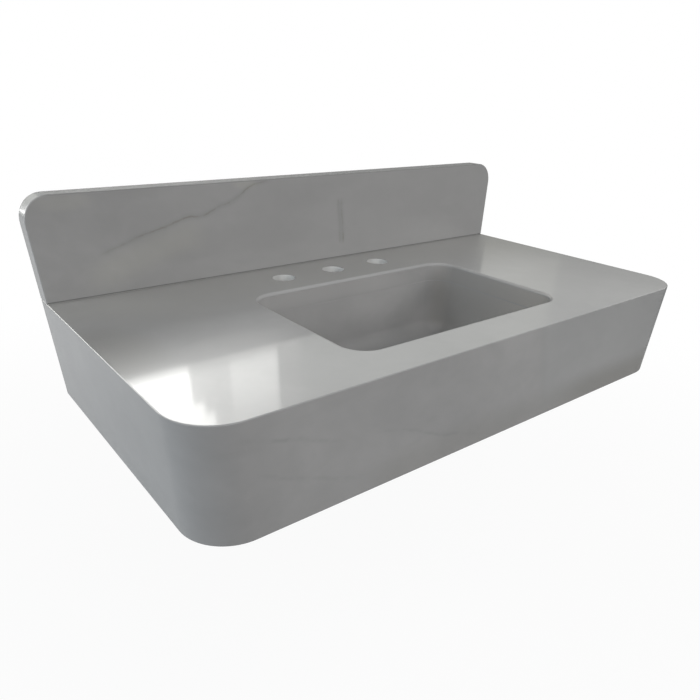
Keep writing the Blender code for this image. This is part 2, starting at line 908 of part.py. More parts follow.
def crown_profile(crown_width, rim_top):
    """The plug's low dome, from its rim in to a small flat at the middle."""
    steps = fillet_steps
    points = []
    for k in range(1, steps + 1):
        share = k / steps
        width = plug_diameter + (crown_width - plug_diameter) * share
        points.append((width, rim_top + plug_crown * math.sin(math.radians(90 * share))))
    return points


def main():
    clear_scene()
    marble = finish("polished_marble", (0.30, 0.31, 0.31), 0.15)
    sealant = finish("grey_sealant", (0.16, 0.16, 0.15), 0.5)
    steel = finish("galvanised_steel", (0.45, 0.46, 0.47), 0.45, 1.0)
    brass = finish("brass", (0.55, 0.42, 0.20), 0.35, 1.0)
    chrome = finish("chrome", (0.75, 0.75, 0.76), 0.08, 1.0)
    rubber = finish("black_rubber", (0.03, 0.03, 0.03), 0.7)
    plastic = finish("white_plastic", (0.75, 0.75, 0.72), 0.4)
    make_deck_slab(marble)
    make_straight_aprons(marble)
    make_corner_aprons(marble)
    make_backsplash(marble)
    make_basin(marble)
    make_sealants(sealant)
    make_rear_cleat(steel)
    for side, sign in sides:
        make_wall_bracket(side, sign, steel)
    make_pads(rubber)
    make_deck_bolts(steel, brass)
    make_clips(steel)
    make_waste_body(chrome)
    make_waste_rings(rubber, plastic, brass)
    make_tailpiece(chrome, rubber)
    make_cartridge(plastic)
    make_plug(chrome, rubber)


main()
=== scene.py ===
# %% [markdown]
# # A wall-hung sink in grey marble
#
# The real sink is built up from slabs: a deck with a cut-out, an apron glued under its
# edge along a mitre, a backsplash, and a basin carved from one block. Steel brackets on
# the wall carry it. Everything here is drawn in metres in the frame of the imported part:
# the wall is the plane y = 0, the room is towards -Y and +Z is up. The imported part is
# loaded first and never moved, so each new piece can take its place from a node's box.

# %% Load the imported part
import math

import bmesh
import bpy
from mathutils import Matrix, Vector


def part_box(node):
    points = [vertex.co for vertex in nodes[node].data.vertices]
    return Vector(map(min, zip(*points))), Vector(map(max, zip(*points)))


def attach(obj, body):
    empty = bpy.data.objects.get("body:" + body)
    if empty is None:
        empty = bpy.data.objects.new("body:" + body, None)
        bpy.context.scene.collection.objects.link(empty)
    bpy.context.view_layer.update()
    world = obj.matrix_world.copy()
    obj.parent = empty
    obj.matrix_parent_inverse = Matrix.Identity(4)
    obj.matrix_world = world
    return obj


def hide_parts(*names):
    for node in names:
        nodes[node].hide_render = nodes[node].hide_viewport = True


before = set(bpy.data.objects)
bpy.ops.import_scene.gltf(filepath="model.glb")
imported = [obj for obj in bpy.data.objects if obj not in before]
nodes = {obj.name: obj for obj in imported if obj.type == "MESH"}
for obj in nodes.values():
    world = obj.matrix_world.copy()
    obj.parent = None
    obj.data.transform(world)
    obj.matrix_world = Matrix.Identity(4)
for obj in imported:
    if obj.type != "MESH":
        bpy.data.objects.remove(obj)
scene = bpy.context.scene
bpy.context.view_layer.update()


def shown(point):
    """A point or a corner of a box, rounded for printing."""
    return tuple(round(v, 4) for v in point)


# %% [markdown]
# ## Sizes
#
# A few sizes repeat what the part's source says, and the rest are read from the nodes'
# boxes, so the stone below always meets the steel and the waste that stay as they are.

# %% Sizes of the stone
slab = 0.030
front_corner_radius = 0.064
ease = 0.0015
mitre_lip = 0.003
splash_corner_radius = 0.036
opening_corner_radius = 0.036
opening_ease = 0.005
flange_width = 0.032
flange_thickness = 0.020
basin_wall = 0.018
bowl_draft = 0.0015
bowl_fillet = 0.028
outer_fillet = 0.024
bowl_floor_thickness = 0.019
outlet_fall = 0.003
tap_hole_diameter = 0.038
tap_hole_spacing = 0.1016
tap_hole_setback = 0.092
tap_hole_ease = 0.0006

deck_low, deck_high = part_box("deck_slab")
splash_low, splash_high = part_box("backsplash")
basin_low, basin_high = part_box("basin")
half_width, depth = deck_high.x, -deck_low.y
deck_top, deck_bottom = deck_high.z, deck_low.z
apron_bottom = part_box("front_apron")[0].z
middle_y = (basin_low.y + basin_high.y) / 2
opening_x = basin_high.x - flange_width
opening_y = (basin_high.y - basin_low.y) / 2 - flange_width


def centre(name):
    """The middle of a node's box."""
    low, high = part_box(name)
    return (low + high) / 2


print("deck top", round(deck_top, 4), "opening half sizes", round(opening_x, 4), round(opening_y, 4))

# %% [markdown]
# ## Skins over rings
#
# Most stone and turned pieces are a row of closed rings of points with faces between
# them. It is the same idea as a loft or a revolve in a CAD program, and it gives clean
# quads where a sculpted or remeshed piece would give ripples. Polished stone shows every
# ripple in its reflections.


# %% Points on arcs
def arc(centre_u, centre_v, radius, start, end, steps):
    """Points along an arc, from angle start to angle end in degrees."""
    turns = [math.radians(start + (end - start) * k / steps) for k in range(steps + 1)]
    return [(centre_u + radius * math.cos(a), centre_v + radius * math.sin(a)) for a in turns]


def circle(radius, count, start=0.0):
    """count points round a circle."""
    return arc(0, 0, radius, start, start + 360 - 360 / count, count - 1)


def rounded_edge(radius, level, flat_level, steps=8):
    """(inset, level) pairs of a quarter-round edge, from the side face to the flat face."""
    sign = 1 if flat_level > level else -1
    return [(radius - u, level + sign * v) for u, v in arc(0, 0, radius, 0, 90, steps)]


def at_level(outline, level):
    """A ring: an outline in x and y, at one height."""
    return [(x, y, level) for x, y in outline]


def shifted(outline, x, y):
    """An outline moved by x and y."""
    return [(x + u, y + v) for u, v in outline]


print("a quarter round in three steps:", [shown(pair) for pair in rounded_edge(ease, 0, ease, 3)])


# %% Skins, cuts and plain meshes
def solid(name, bodies, joined=False):
    """An object whose mesh has a skin over each body's rings, capped or joined end to end."""
    bm = bmesh.new()
    for rings in bodies:
        rows = [[bm.verts.new(p) for p in ring] for ring in rings]
        following = rows[1:] + rows[:1] if joined else rows[1:]
        count = len(rings[0])
        for lower, upper in zip(rows, following):
            for i in range(count):
                j = (i + 1) % count
                bm.faces.new((lower[i], lower[j], upper[j], upper[i]))
        if not joined:
            bm.faces.new(rows[0][::-1])
            bm.faces.new(rows[-1])
    bmesh.ops.recalc_face_normals(bm, faces=bm.faces)
    mesh = bpy.data.meshes.new(name)
    bm.to_mesh(mesh)
    bm.free()
    made = bpy.data.objects.new(name, mesh)
    scene.collection.objects.link(made)
    return made


def combine(target, tool, operation):
    """Add a boolean step to the target; the tool is removed when the target is finished."""
    step = target.modifiers.new(tool.name, "BOOLEAN")
    step.operation, step.solver, step.object = operation, "EXACT", tool


def plain_mesh(made):
    """Turn an object's modifiers into plain mesh."""
    bpy.context.view_layer.update()
    depsgraph = bpy.context.evaluated_depsgraph_get()
    mesh = bpy.data.meshes.new_from_object(made.evaluated_get(depsgraph), depsgraph=depsgraph)
    tools = [step.object for step in made.modifiers if step.type == "BOOLEAN"]
    made.modifiers.clear()
    for tool in tools:
        bpy.data.objects.remove(tool)
    made.data = mesh
    mesh.name = made.name


def finished(made, sharp_from=40):
    """Plain mesh with smooth round edges, and flat faces kept flat up to those edges."""
    plain_mesh(made)
    made.data.shade_smooth()
    made.data.set_sharp_from_angle(angle=math.radians(sharp_from))
    weight = made.modifiers.new("flat_faces", "WEIGHTED_NORMAL")
    weight.keep_sharp = True
    plain_mesh(made)
    return made


print("pieces are closed skins, finished with weighted normals")

# %% [markdown]
# ## Shader maths as Python
#
# A material is a sum of masks, noises and lines. Written as Python expressions these are
# short enough to read, so a small class wraps a socket and adds a Math node for each
# operator. Every other node comes from one function, which sets the node's own settings
# first and then its sockets.


# %% One function for every node
def node(tree, kind, settings=None, sockets=None, output=0):
    """Add a node with its settings and the values or links of its sockets."""
    made = tree.nodes.new(kind)
    for name, value in (settings or {}).items():
        if name == "stops":
            ramp = made.color_ramp.elements
            while len(ramp) < len(value):
                ramp.new(0.5)
            for stop, (place, colour) in zip(ramp, value):
                stop.position, stop.color = place, (*colour, 1.0)
        else:
            setattr(made, name, value)
    for name, value in (sockets or {}).items():
        if isinstance(value, Value):
            tree.links.new(value.socket, made.inputs[name])
        else:
            made.inputs[name].default_value = value
    return Value(tree, made.outputs[output] if made.outputs else None)


print("nodes are added by node(tree, kind, settings, sockets, output)")


# %% Sockets that can be calculated with
class Value:
    """A socket; an expression on it adds Math nodes to its tree."""

    def __init__(self, tree, socket):
        self.tree, self.socket = tree, socket

    def math(self, operation, *terms, clamp=False):
        settings = {"operation": operation, "use_clamp": clamp}
        return node(self.tree, "ShaderNodeMath", settings, dict(enumerate(terms)))

    def __add__(self, other):
        return self.math("ADD", self, other)

    def __sub__(self, other):
        return self.math("SUBTRACT", self, other)

    def __rsub__(self, other):
        return self.math("SUBTRACT", other, self)

    def __mul__(self, other):
        return self.math("MULTIPLY", self, other)

    def __truediv__(self, other):
        return self.math("DIVIDE", self, other)

    def __abs__(self):
        return self.math("ABSOLUTE", self)

    __radd__, __rmul__ = __add__, __mul__

    def output(self, name):
        """Another output of the node that this socket belongs to."""
        return Value(self.tree, self.socket.node.outputs[name])

    def above(self, limit):
        return self.math("GREATER_THAN", self, limit)

    def below(self, limit):
        return self.math("LESS_THAN", self, limit)

    def clamped(self):
        return self.math("ADD", self, 0.0, clamp=True)

    def rise(self, start, end):
        """0 before start, 1 after end, and a smooth step between them."""
        sockets = {"Value": self, "From Min": start, "From Max": end}
        return node(self.tree, "ShaderNodeMapRange", {"interpolation_type": "SMOOTHSTEP"}, sockets)

    def window(self, low, high, soft):
        """1 between low and high, fading to 0 over soft outside them."""
        return self.rise(low - soft, low) * (1 - self.rise(high, high + soft))


print("a socket can be added, subtracted, multiplied and divided")


# %% A material and its patterns
class Finish:
    """A Principled material and the nodes that its patterns are made from."""

    def __init__(self, name, **uniform):
        self.material = bpy.data.materials.new(name)
        self.material.use_nodes = True
        self.tree = self.material.node_tree
        self.shader = self.tree.nodes["Principled BSDF"]
        for label, value in uniform.items():
            label = label.replace("_", " ").title().replace("Ior", "IOR")
            self.shader.inputs[label].default_value = value
        self.place = node(self.tree, "ShaderNodeTexCoord", output=3)
        split = node(self.tree, "ShaderNodeSeparateXYZ", sockets={0: self.place})
        self.x, self.y, self.z = (split.output(axis) for axis in "XYZ")

    def turned(self, rotation=(0, 0, 0), scale=(1, 1, 1)):
        """Object coordinates turned by degrees and scaled."""
        turn = tuple(math.radians(angle) for angle in rotation)
        sockets = {"Vector": self.place, "Rotation": turn, "Scale": scale}
        return node(self.tree, "ShaderNodeMapping", sockets=sockets)

    def noise(self, scale, detail=3.0, roughness=0.5, distortion=0.0, place=None):
        sockets = {"Vector": place or self.place, "Scale": scale, "Detail": detail}
        sockets |= {"Roughness": roughness, "Distortion": distortion}
        return node(self.tree, "ShaderNodeTexNoise", sockets=sockets)

    def cells(self, scale):
        """A random colour in each cell of a Voronoi pattern."""
        sockets = {"Vector": self.place, "Scale": scale}
        return node(self.tree, "ShaderNodeTexVoronoi", sockets=sockets, output=1)

    def mixed(self, factor, first, second):
        """Two colours mixed; a colour is three numbers or a socket."""
        pair = [c if isinstance(c, Value) else (*c, 1.0) for c in (first, second)]
        return node(self.tree, "ShaderNodeMix", {"data_type": "RGBA"}, {0: factor, 6: pair[0], 7: pair[1]}, 2)

    def ramp(self, factor, stops):
        return node(self.tree, "ShaderNodeValToRGB", {"stops": stops}, {0: factor})

    def bump(self, height, distance):
        normal = node(self.tree, "ShaderNodeBump", sockets={"Height": height, "Distance": distance})
        self.tree.links.new(normal.socket, self.shader.inputs["Normal"])

    def feed(self, **links):
        """Link values to the shader's sockets and hand over the material."""
        for label, value in links.items():
            self.tree.links.new(value.socket, self.shader.inputs[label.replace("_", " ").title()])
        return self.material


print("materials read Object coordinates, which are the frame's own metres")

# %% [markdown]
# ## Grey marble
#
# The stone in the photograph is a quiet grey with slow clouds, a thin brown vein that
# climbs across the backsplash, a short upright pair near the tap holes and a few faint
# streaks on the apron. Real veins are sheets that run through the block, and a line on
# the surface is where such a sheet comes out. So each vein is a tilted plane, pushed
# about by noise, and fades out where the photograph shows it end. A slab's own marks
# must not run on into its neighbours, so masks pick out the deck's top, the backsplash,
# the front and the inside of the cut-out by their place in the frame.

# %% Colours of the stone and masks of its faces
# Some of these colours paint light and shade rather than the stone. On the second row the darkest grey is a
# painted darker reflection and shade. The bowl's three colours are painted light, painted warm light and
# painted shade. The lighter of the two ground colours is painted light, and the honed colour is painted
# shade.
stone_dark, stone_mid, stone_light = (0.173, 0.173, 0.173), (0.214, 0.213, 0.212), (0.264, 0.262, 0.260)
stone_warm, stone_cool, painted_reflection_shade = (0.202, 0.197, 0.180), (0.221, 0.226, 0.226), (0.150, 0.147, 0.138)
calcite_pale, vein_brown, vein_grey = (0.298, 0.296, 0.268), (0.118, 0.103, 0.078), (0.120, 0.124, 0.126)
painted_light_tone, painted_warm_light, painted_low_shade = (0.298, 0.294, 0.290), (0.308, 0.290, 0.266), (0.150, 0.150, 0.149)
ground_stone, painted_hole_light, honed_painted_shade = (0.34, 0.34, 0.335), (0.55, 0.55, 0.54), (0.150, 0.150, 0.148)
margin, deck_skin, front_skin, top_skin = 0.0005, 0.0012, 0.001, 0.0001


class Stone(Finish):
    """The marble's material, with masks of the faces that its patterns belong to."""

    def __init__(self, name, **uniform):
        super().__init__(name, **uniform)
        self.on_splash = self.z.above(deck_top) * self.y.above(splash_low.y - margin)
        self.on_deck = self.z.above(deck_top - deck_skin) * (1 - self.on_splash)
        self.on_front = self.z.below(deck_top - front_skin) * (1 - self.y.rise(-0.44, -0.34))
        reach_x, reach_y = (half + opening_ease + margin for half in (opening_x, opening_y))
        over = abs(self.x).below(reach_x) * abs(self.y - middle_y).below(reach_y)
        self.inside = over * self.z.below(deck_top - top_skin)


def patches(across, along, rows):
    """Soft round patches added up; a row has its middle and its reach both ways, and its strength."""
    total = 0
    for u, v, reach_u, reach_v, strength in rows:
        off_u, off_v = (across - u) * (1 / reach_u), (along - v) * (1 / reach_v)
        total = (1 - (off_u * off_u + off_v * off_v).rise(0.0, 1.0)) * strength + total
    return total


print("front of the backsplash at y =", round(splash_low.y, 4))


# %% Veins and streaks
def climbing_line(stone, start, end, wobble):
    """Distance above a line in the front view from start to end, shaken by a noise."""
    (x0, z0), (x1, z1) = start, end
    length = math.hypot(x1 - x0, z1 - z0)
    across = (stone.x - x0) * ((z0 - z1) / length) + (stone.z - z0) * ((x1 - x0) / length)
    return across + (wobble - 0.5) * 0.015


def vein(distance, width):
    """A line that is 1 on the vein and 0 beyond its width."""
    return 1 - abs(distance).rise(0.0, width)


splash_spots = ((-0.125, 0.192, 0.030, 0.010, 0.35), (-0.405, 0.186, 0.050, 0.014, 0.22))


def veins_on_splash(stone, colour, shake, broken):
    """The climbing vein with its pale cloud, the upright pair and two calcite spots."""
    line = climbing_line(stone, (-0.347, 0.1226), (-0.099, 0.1896), shake)
    line = line + stone.x.window(-0.205, -0.160, 0.035) * 0.0060 - stone.x.rise(-0.145, -0.118) * 0.0050
    cloud = (1 - abs(line + 0.026).rise(0.004, 0.034)) * stone.x.window(-0.36, -0.24, 0.05)
    colour = stone.mixed(cloud * stone.on_splash * 0.28, colour, calcite_pale)
    spots = patches(stone.x, stone.z, splash_spots)
    colour = stone.mixed(spots * stone.on_splash, colour, calcite_pale)
    along = stone.x.window(-0.35, -0.10, 0.03) * stone.on_splash
    strong = stone.x.window(-0.31, -0.14, 0.06) * 0.26 + 0.14
    colour = stone.mixed(vein(line, 0.0070) * along * 0.18, colour, vein_grey)
    colour = stone.mixed(vein(line, 0.0020) * along * strong * broken, colour, vein_brown)
    upright = stone.x - 0.0665 + (stone.z - 0.120) * 0.05 + (shake - 0.5) * 0.010
    tall = stone.z.window(0.092, 0.148, 0.014) * stone.on_splash
    pair = vein(upright, 0.0020) * 0.44 + vein(upright + 0.0075, 0.0020) * 0.40
    colour = stone.mixed(vein(upright + 0.0035, 0.011) * tall * 0.20, colour, vein_grey)
    return stone.mixed(pair * tall * broken, colour, vein_brown)


front_streaks = (
    ((-0.403, 0.036), (-0.275, -0.005), -0.37, -0.31, 0.28),
    ((-0.350, -0.026), (-0.294, -0.049), -0.36, -0.28, 0.14),
    ((-0.199, -0.019), (-0.057, -0.070), -0.19, -0.06, 0.24),
)


def streaks_on_front(stone, colour, shake, broken):
    """Faint dark bedding streaks on the left of the apron: start, end, low x, high x and strength."""
    streaks = 0
    for start, end, low, high, strength in front_streaks:
        streak = vein(climbing_line(stone, start, end, shake), 0.0045)
        streaks = streak * stone.x.window(low, high, 0.04) * strength + streaks
    at_front = stone.z.below(deck_top) * stone.y.below(-0.40)
    return stone.mixed(streaks * broken * at_front, colour, vein_grey)


print("spots on the backsplash:", len(splash_spots), "streaks on the front:", len(front_streaks))

# %% [markdown]
# The large forms get soft lighter and darker areas, and most of them are painted light
# and shade: painted light up the bowl's back wall and to the right and painted shade low
# down in it, painted light on the right of the backsplash, painted shade over the deck
# and on the turn of the apron's left corner, a painted darker reflection along the
# apron's lower edge, and on the deck painted shade and a painted glow of reflected
# light. Each area is a mask times a strength, and it pulls the colour towards one of
# the colours above.

# %% Tone, painted light and painted shade of the slabs and the bowl
# Each row is a colour and a patch: a painted darker reflection on the left of the deck, a painted glow of
# reflected light left of the bowl, and a darker patch on the right.
deck_patches = (
    (painted_reflection_shade, (-0.445, -0.250, 0.075, 0.110, 0.60)),
    (painted_light_tone, (-0.300, -0.315, 0.090, 0.055, 0.35)),
    (stone_dark, (0.330, -0.350, 0.110, 0.090, 0.50)),
)


def painted_light_on_splash(stone, colour):
    """Painted light: lighter towards the right."""
    light = stone.x.rise(-0.38, -0.12) * 0.48 + 0.06
    return stone.mixed(light * stone.on_splash, colour, stone_light)


def tone_and_shade_on_front(stone, colour):
    """A cooler right part beyond a leaning line, dark bands on the left, the one on the round corner painted
    shade, and a painted darker reflection along the lower edge.
    """
    leaning = stone.x + stone.z * 0.35
    light = leaning.window(0.020, 0.080, 0.05) * 0.12
    # The band at x from -0.445 to -0.385 lies on the round left corner and is painted shade.
    dark = vein(leaning - 0.090, 0.015) * 0.17 + stone.x.window(-0.445, -0.385, 0.035) * 0.32
    dark = stone.x.window(-0.28, -0.20, 0.06) * 0.24 + dark
    # Painted reflection: the lower edge is darker from the middle, most on the right.
    painted_reflection_band = stone.x.rise(-0.26, -0.18) * 0.36 + stone.x.rise(0.10, 0.24) * 0.44
    painted_reflection_band = (1 - stone.z.rise(-0.078, -0.034)) * painted_reflection_band
    cool = leaning.rise(0.080, 0.096) * 0.4
    for mask, there in ((light, stone_light), (cool, stone_cool), (dark, stone_dark), (painted_reflection_band, painted_reflection_shade)):
        colour = stone.mixed(mask * stone.on_front, colour, there)
    return colour


def tone_and_shade_on_deck(stone, colour):
    """A warm rear, painted shade over the deck that is strongest on the left, and three patches towards the
    front.
    """
    colour = stone.mixed(stone.y.rise(-0.26, -0.10) * stone.on_deck * 0.5, colour, stone_warm)
    # Painted shade: the whole deck is darkened a little, and its left more.
    painted_deck_shade = patches(stone.x, stone.y, [(-0.41, -0.22, 0.13, 0.14, 0.50)]) + 0.13
    colour = stone.mixed(painted_deck_shade * stone.on_deck, colour, stone_dark)
    for there, row in deck_patches:
        colour = stone.mixed(patches(stone.x, stone.y, [row]) * stone.on_deck, colour, there)
    return colour


def painted_light_in_bowl(stone, colour):
    """Painted light up the back wall, in the right corner and on the right wall, where it is warm; painted
    shade low down.
    """
    pale = stone.z.rise(-0.062, 0.020) * 0.34 + stone.z.rise(0.022, 0.042) * 0.34
    pale = pale * (1 - stone.x.rise(0.04, 0.17))
    side = stone.x.rise(0.17, 0.20) * ((1 - stone.y.rise(-0.42, -0.22)) * 0.50 + 0.42)
    pale = stone.x.rise(0.10, 0.17) * (1 - stone.z.rise(-0.04, 0.01)) * 0.50 + pale
    # Painted shade: darker low in the bowl.
    low = (1 - stone.z.rise(-0.070, -0.045)) * 0.8
    for mask, there in ((pale, painted_light_tone), (side, painted_warm_light), (low, painted_low_shade)):
        colour = stone.mixed(mask * stone.inside, colour, there)
    return colour


print("patches on the deck:", len(deck_patches))

# %% [markdown]
# The polish is a sharp coat over a hazier stone, which gives bright reflections their
# halo. Where the mason's polisher doesn't reach, the stone is duller: the walls of the
# tap holes are ground and pale, the backsplash's upper edge is honed, and the rim of the
# cut-out and the low part of the bowl have less of the coat. Three of these also carry
# painted light and shade: painted light on the right side of each tap hole, painted
# shade on the honed edge, and painted shade on the rim that dims its highlight.

# %% Marble
def tap_hole_walls(stone):
    """Masks of the tap holes' ground walls and of their right sides, which get painted light."""
    walls = lit = 0
    for place in (-1, 0, 1):
        across, back = stone.x - place * tap_hole_spacing, stone.y + tap_hole_setback
        near = (across * across + back * back).below((tap_hole_diameter / 2 + 0.0002) ** 2)
        walls = near + walls
        lit = across.rise(-0.004, 0.018) * near + lit
    under_deck = stone.z.below(deck_top - tap_hole_ease) * stone.z.above(deck_bottom - margin)
    return walls * under_deck, lit * under_deck


def make_marble():
    stone = Stone("polished_marble", ior=1.4, coat_roughness=0.07)
    bedding = stone.turned(rotation=(4, 5, 0), scale=(1.0, 1.0, 1.8))
    clouds = stone.noise(4.5, 4.0, 0.5, 0.6, bedding)
    drift = stone.noise(13.0, 4.0, 0.55, 1.0, bedding)
    mottle = stone.noise(60.0)
    shake = stone.noise(16.0, 4.0, 0.6)
    broken = stone.noise(42.0, 3.0, 0.6).rise(0.38, 0.60) * 0.85 + 0.15
    tone = clouds * 0.50 + drift * 0.18 + mottle * 0.07 + 0.125
    colour = stone.ramp(tone, [(0.28, stone_dark), (0.50, stone_mid), (0.72, stone_light)])
    for area in (painted_light_on_splash, tone_and_shade_on_front, tone_and_shade_on_deck, painted_light_in_bowl):
        colour = area(stone, colour)
    for lines in (veins_on_splash, streaks_on_front):
        colour = lines(stone, colour, shake, broken)

    ground, lit = tap_hole_walls(stone)
    rim = stone.inside * stone.z.above(deck_top - opening_ease)
    honed = stone.z.above(splash_high.z - ease) * stone.x.rise(-0.445, -0.415)
    colour = stone.mixed(ground, colour, ground_stone)
    # Painted light on the right side of each tap hole's wall.
    colour = stone.mixed(lit * 0.8, colour, painted_hole_light)
    # Painted shade: the cut-out's rim is pulled towards the mid grey, which dims its highlight.
    colour = stone.mixed(rim * 0.6, colour, stone_mid)
    # Painted shade: the honed top of the backsplash is darker, except at its left end.
    colour = stone.mixed(honed * 0.8, colour, honed_painted_shade)

    polish, scuffs = stone.noise(9.0, 3.0, 0.5, 0.6), stone.noise(26.0)
    matt = (honed * 1.8 + ground).clamped()
    dull = (1 - stone.z.rise(-0.060, -0.036)) * stone.inside
    roughness = polish * 0.05 + scuffs * 0.03 + 0.29 + matt * 0.3 + dull * 0.2 + rim * 0.12
    coat = (0.80 - polish * 0.10 - scuffs * 0.06) * (1 - matt) * (1 - rim * 0.75) * (1 - dull * 0.85)
    stone.bump(stone.noise(24.0, 2.0) + mottle * 0.04, 0.00006)
    return stone.feed(base_color=colour, roughness=roughness, coat_weight=coat)


marble = make_marble()
print("marble:", len(marble.node_tree.nodes), "nodes")

# %% [markdown]
# ## Rubber, sealant, plastic and metals
#
# The hidden pieces are plain shop goods: hot-dip galvanised steel with its flower-like
# crystals, zinc-plated bolts, brass inserts, a chromed waste, black rubber and white
# plastic. Most of them differ from an even colour by one haze, in tone and in gloss, and
# by a fine grain, so one function makes them. Zinc flowers, lathe marks and the sharp
# contrast of chrome need their own lines.


# %% Plain finishes
def hazy(name, colours, haze, gloss, grain, **uniform):
    """A finish whose colour and roughness follow one noise, over a fine bump.

    haze holds the noise's settings, gloss its share of the roughness and the least
    roughness, and grain the scale, detail and distance of the bump.
    """
    made = Finish(name, **uniform)
    tone, (share, least), (scale, detail, distance) = made.noise(*haze), gloss, grain
    made.bump(made.noise(scale, detail), distance)
    return made.feed(base_color=made.mixed(tone, *colours), roughness=tone * share + least)


def make_sealant(name, dark, light):
    return hazy(name, (dark, light), (60.0, 3.0), (0.2, 0.35), (220.0, 3.0, 0.0002), ior=1.41)


blacks, whites = ((0.018, 0.018, 0.019), (0.040, 0.040, 0.042)), ((0.74, 0.74, 0.71), (0.80, 0.80, 0.78))
zinc_greys = ((0.52, 0.53, 0.55), (0.68, 0.68, 0.67))
sealant = make_sealant("grey_sealant", (0.125, 0.126, 0.124), (0.155, 0.156, 0.153))
stone_sealant = make_sealant("stone_sealant", (0.232, 0.231, 0.229), (0.250, 0.248, 0.245))
rubber = hazy("black_rubber", blacks, (80.0, 4.0, 0.6), (0.2, 0.55), (1200.0, 3.0, 0.00008))
plastic = hazy("white_plastic", whites, (70.0, 2.0), (0.15, 0.3), (1500.0, 2.0, 0.00004), ior=1.49)
fine = (900.0, 2.0, 0.00005)
zinc_plate = hazy("zinc_plated_steel", zinc_greys, (240.0, 4.0, 0.6), (0.15, 0.29), fine, metallic=1.0)
print("plain finishes:", sealant.name, stone_sealant.name, rubber.name, plastic.name, zinc_plate.name)


# %% Zinc flowers, turned brass and chrome
def make_galvanised():
    zinc = Finish("galvanised_steel", metallic=1.0)
    flowers = node(zinc.tree, "ShaderNodeSeparateColor", sockets={0: zinc.cells(95.0)})
    bloom = zinc.noise(18.0, 4.0, 0.6)
    stops = [(0.2, (0.36, 0.37, 0.385)), (0.55, (0.47, 0.48, 0.49)), (0.85, (0.60, 0.61, 0.61))]
    colour = zinc.ramp(flowers * 0.55 + bloom * 0.45, stops)
    zinc.bump(zinc.noise(350.0) * 0.5 + flowers * 0.5, 0.00015)
    return zinc.feed(base_color=colour, roughness=flowers * 0.18 + bloom * 0.15 + 0.30)


def make_brass():
    brass = Finish("machined_brass", metallic=1.0)
    lathe = brass.noise(1.0, 4.0, 0.6, place=brass.turned(scale=(40, 40, 2600)))
    patina = brass.noise(45.0, 4.0, 0.6)
    brass.bump(lathe, 0.00006)
    colour = brass.mixed(patina, (0.62, 0.46, 0.20), (0.47, 0.34, 0.15))
    return brass.feed(base_color=colour, roughness=lathe * 0.08 + patina * 0.10 + 0.29)


def make_chrome():
    chrome = Finish("polished_chrome", metallic=1.0)
    haze = chrome.noise(40.0, 4.0, 0.6)
    chrome.bump(chrome.noise(60.0, 2.0), 0.00003)
    colour = chrome.mixed(haze, (0.78, 0.79, 0.80), (0.70, 0.71, 0.72))
    return chrome.feed(base_color=colour, roughness=haze * haze * 0.12 + 0.035)


galvanised, brass, chrome = make_galvanised(), make_brass(), make_chrome()
print("metals:", galvanised.name, brass.name, chrome.name)


def dress(made, material, *replaced, body="root"):
    """Give a finished piece its material, its body and the nodes it stands for."""
    made.data.materials.clear()
    made.data.materials.append(material)
    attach(made, body)
    if replaced:
        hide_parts(*replaced)
    print(made.name, len(made.data.polygons), "faces, for", ", ".join(replaced) or "no node")
    return made


def stone_piece(name, bodies, replaced, joined=False):
    """A finished piece of the marble that stands for one node."""
    return dress(finished(solid(name, bodies, joined)), marble, replaced)


# %% [markdown]
# ## The deck
#
# The deck is one slab. Its outline is straight at the wall and round at the two front
# corners, and the same outline moved inwards gives every ring of its edge: the mitre
# under the slab, a short upright lip, and a fine quarter round where it meets the top.
# The cutters of the cut-out and the tap holes flare at the top, so each rim has its own
# small round as the polisher leaves it. Plain bores from below take the fixings.

# %% Outlines of the deck and its cut-out
corner_steps, opening_steps = 36, 20
bore_sides, round_sides = 40, 96
overrun = 0.01


def sink_outline(inset):
    """The plan of the deck, moved in by inset at its sides and front."""
    x, y = half_width - front_corner_radius, front_corner_radius - depth
    radius = front_corner_radius - inset
    left = arc(-x, y, radius, 180, 270, corner_steps)
    right = arc(x, y, radius, 270, 360, corner_steps)
    return [(inset - half_width, 0), *left, *right, (half_width - inset, 0)]


def opening_outline(outset):
    """The plan of the cut-out, moved out by outset."""
    x, y = opening_x - opening_corner_radius, opening_y - opening_corner_radius
    radius = opening_corner_radius + outset
    points = []
    for turn, (u, v) in enumerate(((1, 1), (-1, 1), (-1, -1), (1, -1))):
        points += arc(u * x, middle_y + v * y, radius, 90 * turn, 90 * turn + 90, opening_steps)
    return points


def flared_cutter(plan, flare, steps):
    """Rings of a cutter through the deck that flares at the top; plan(outset) is its outline."""
    rim = rounded_edge(flare, deck_top - flare, deck_top, steps)
    levels = [(0, deck_bottom - overrun), *rim, (flare, deck_top + overrun)]
    return [at_level(plan(outset), z) for outset, z in levels]


print("points round the deck:", len(sink_outline(0)), "and round the cut-out:", len(opening_outline(0)))

# %% Deck slab
insert_bore_depth, insert_bore_radius = 0.015, 0.0063
stud_bore_depth, stud_bore_radius = 0.015, 0.0033
bolt_x, bolt_rear_y = centre("deck_bolt_right_rear").xy
bolt_front_y = centre("deck_bolt_right_front").y
stud_x = centre("clip_stud_right_rear").x
stud_row = centre("clip_stud_right_rear").y - middle_y


def tap_hole_outline(place, outset):
    """The plan of a tap hole; place is -1, 0 or 1 from left to right."""
    hole = circle(tap_hole_diameter / 2 + outset, round_sides)
    return shifted(hole, place * tap_hole_spacing, -tap_hole_setback)


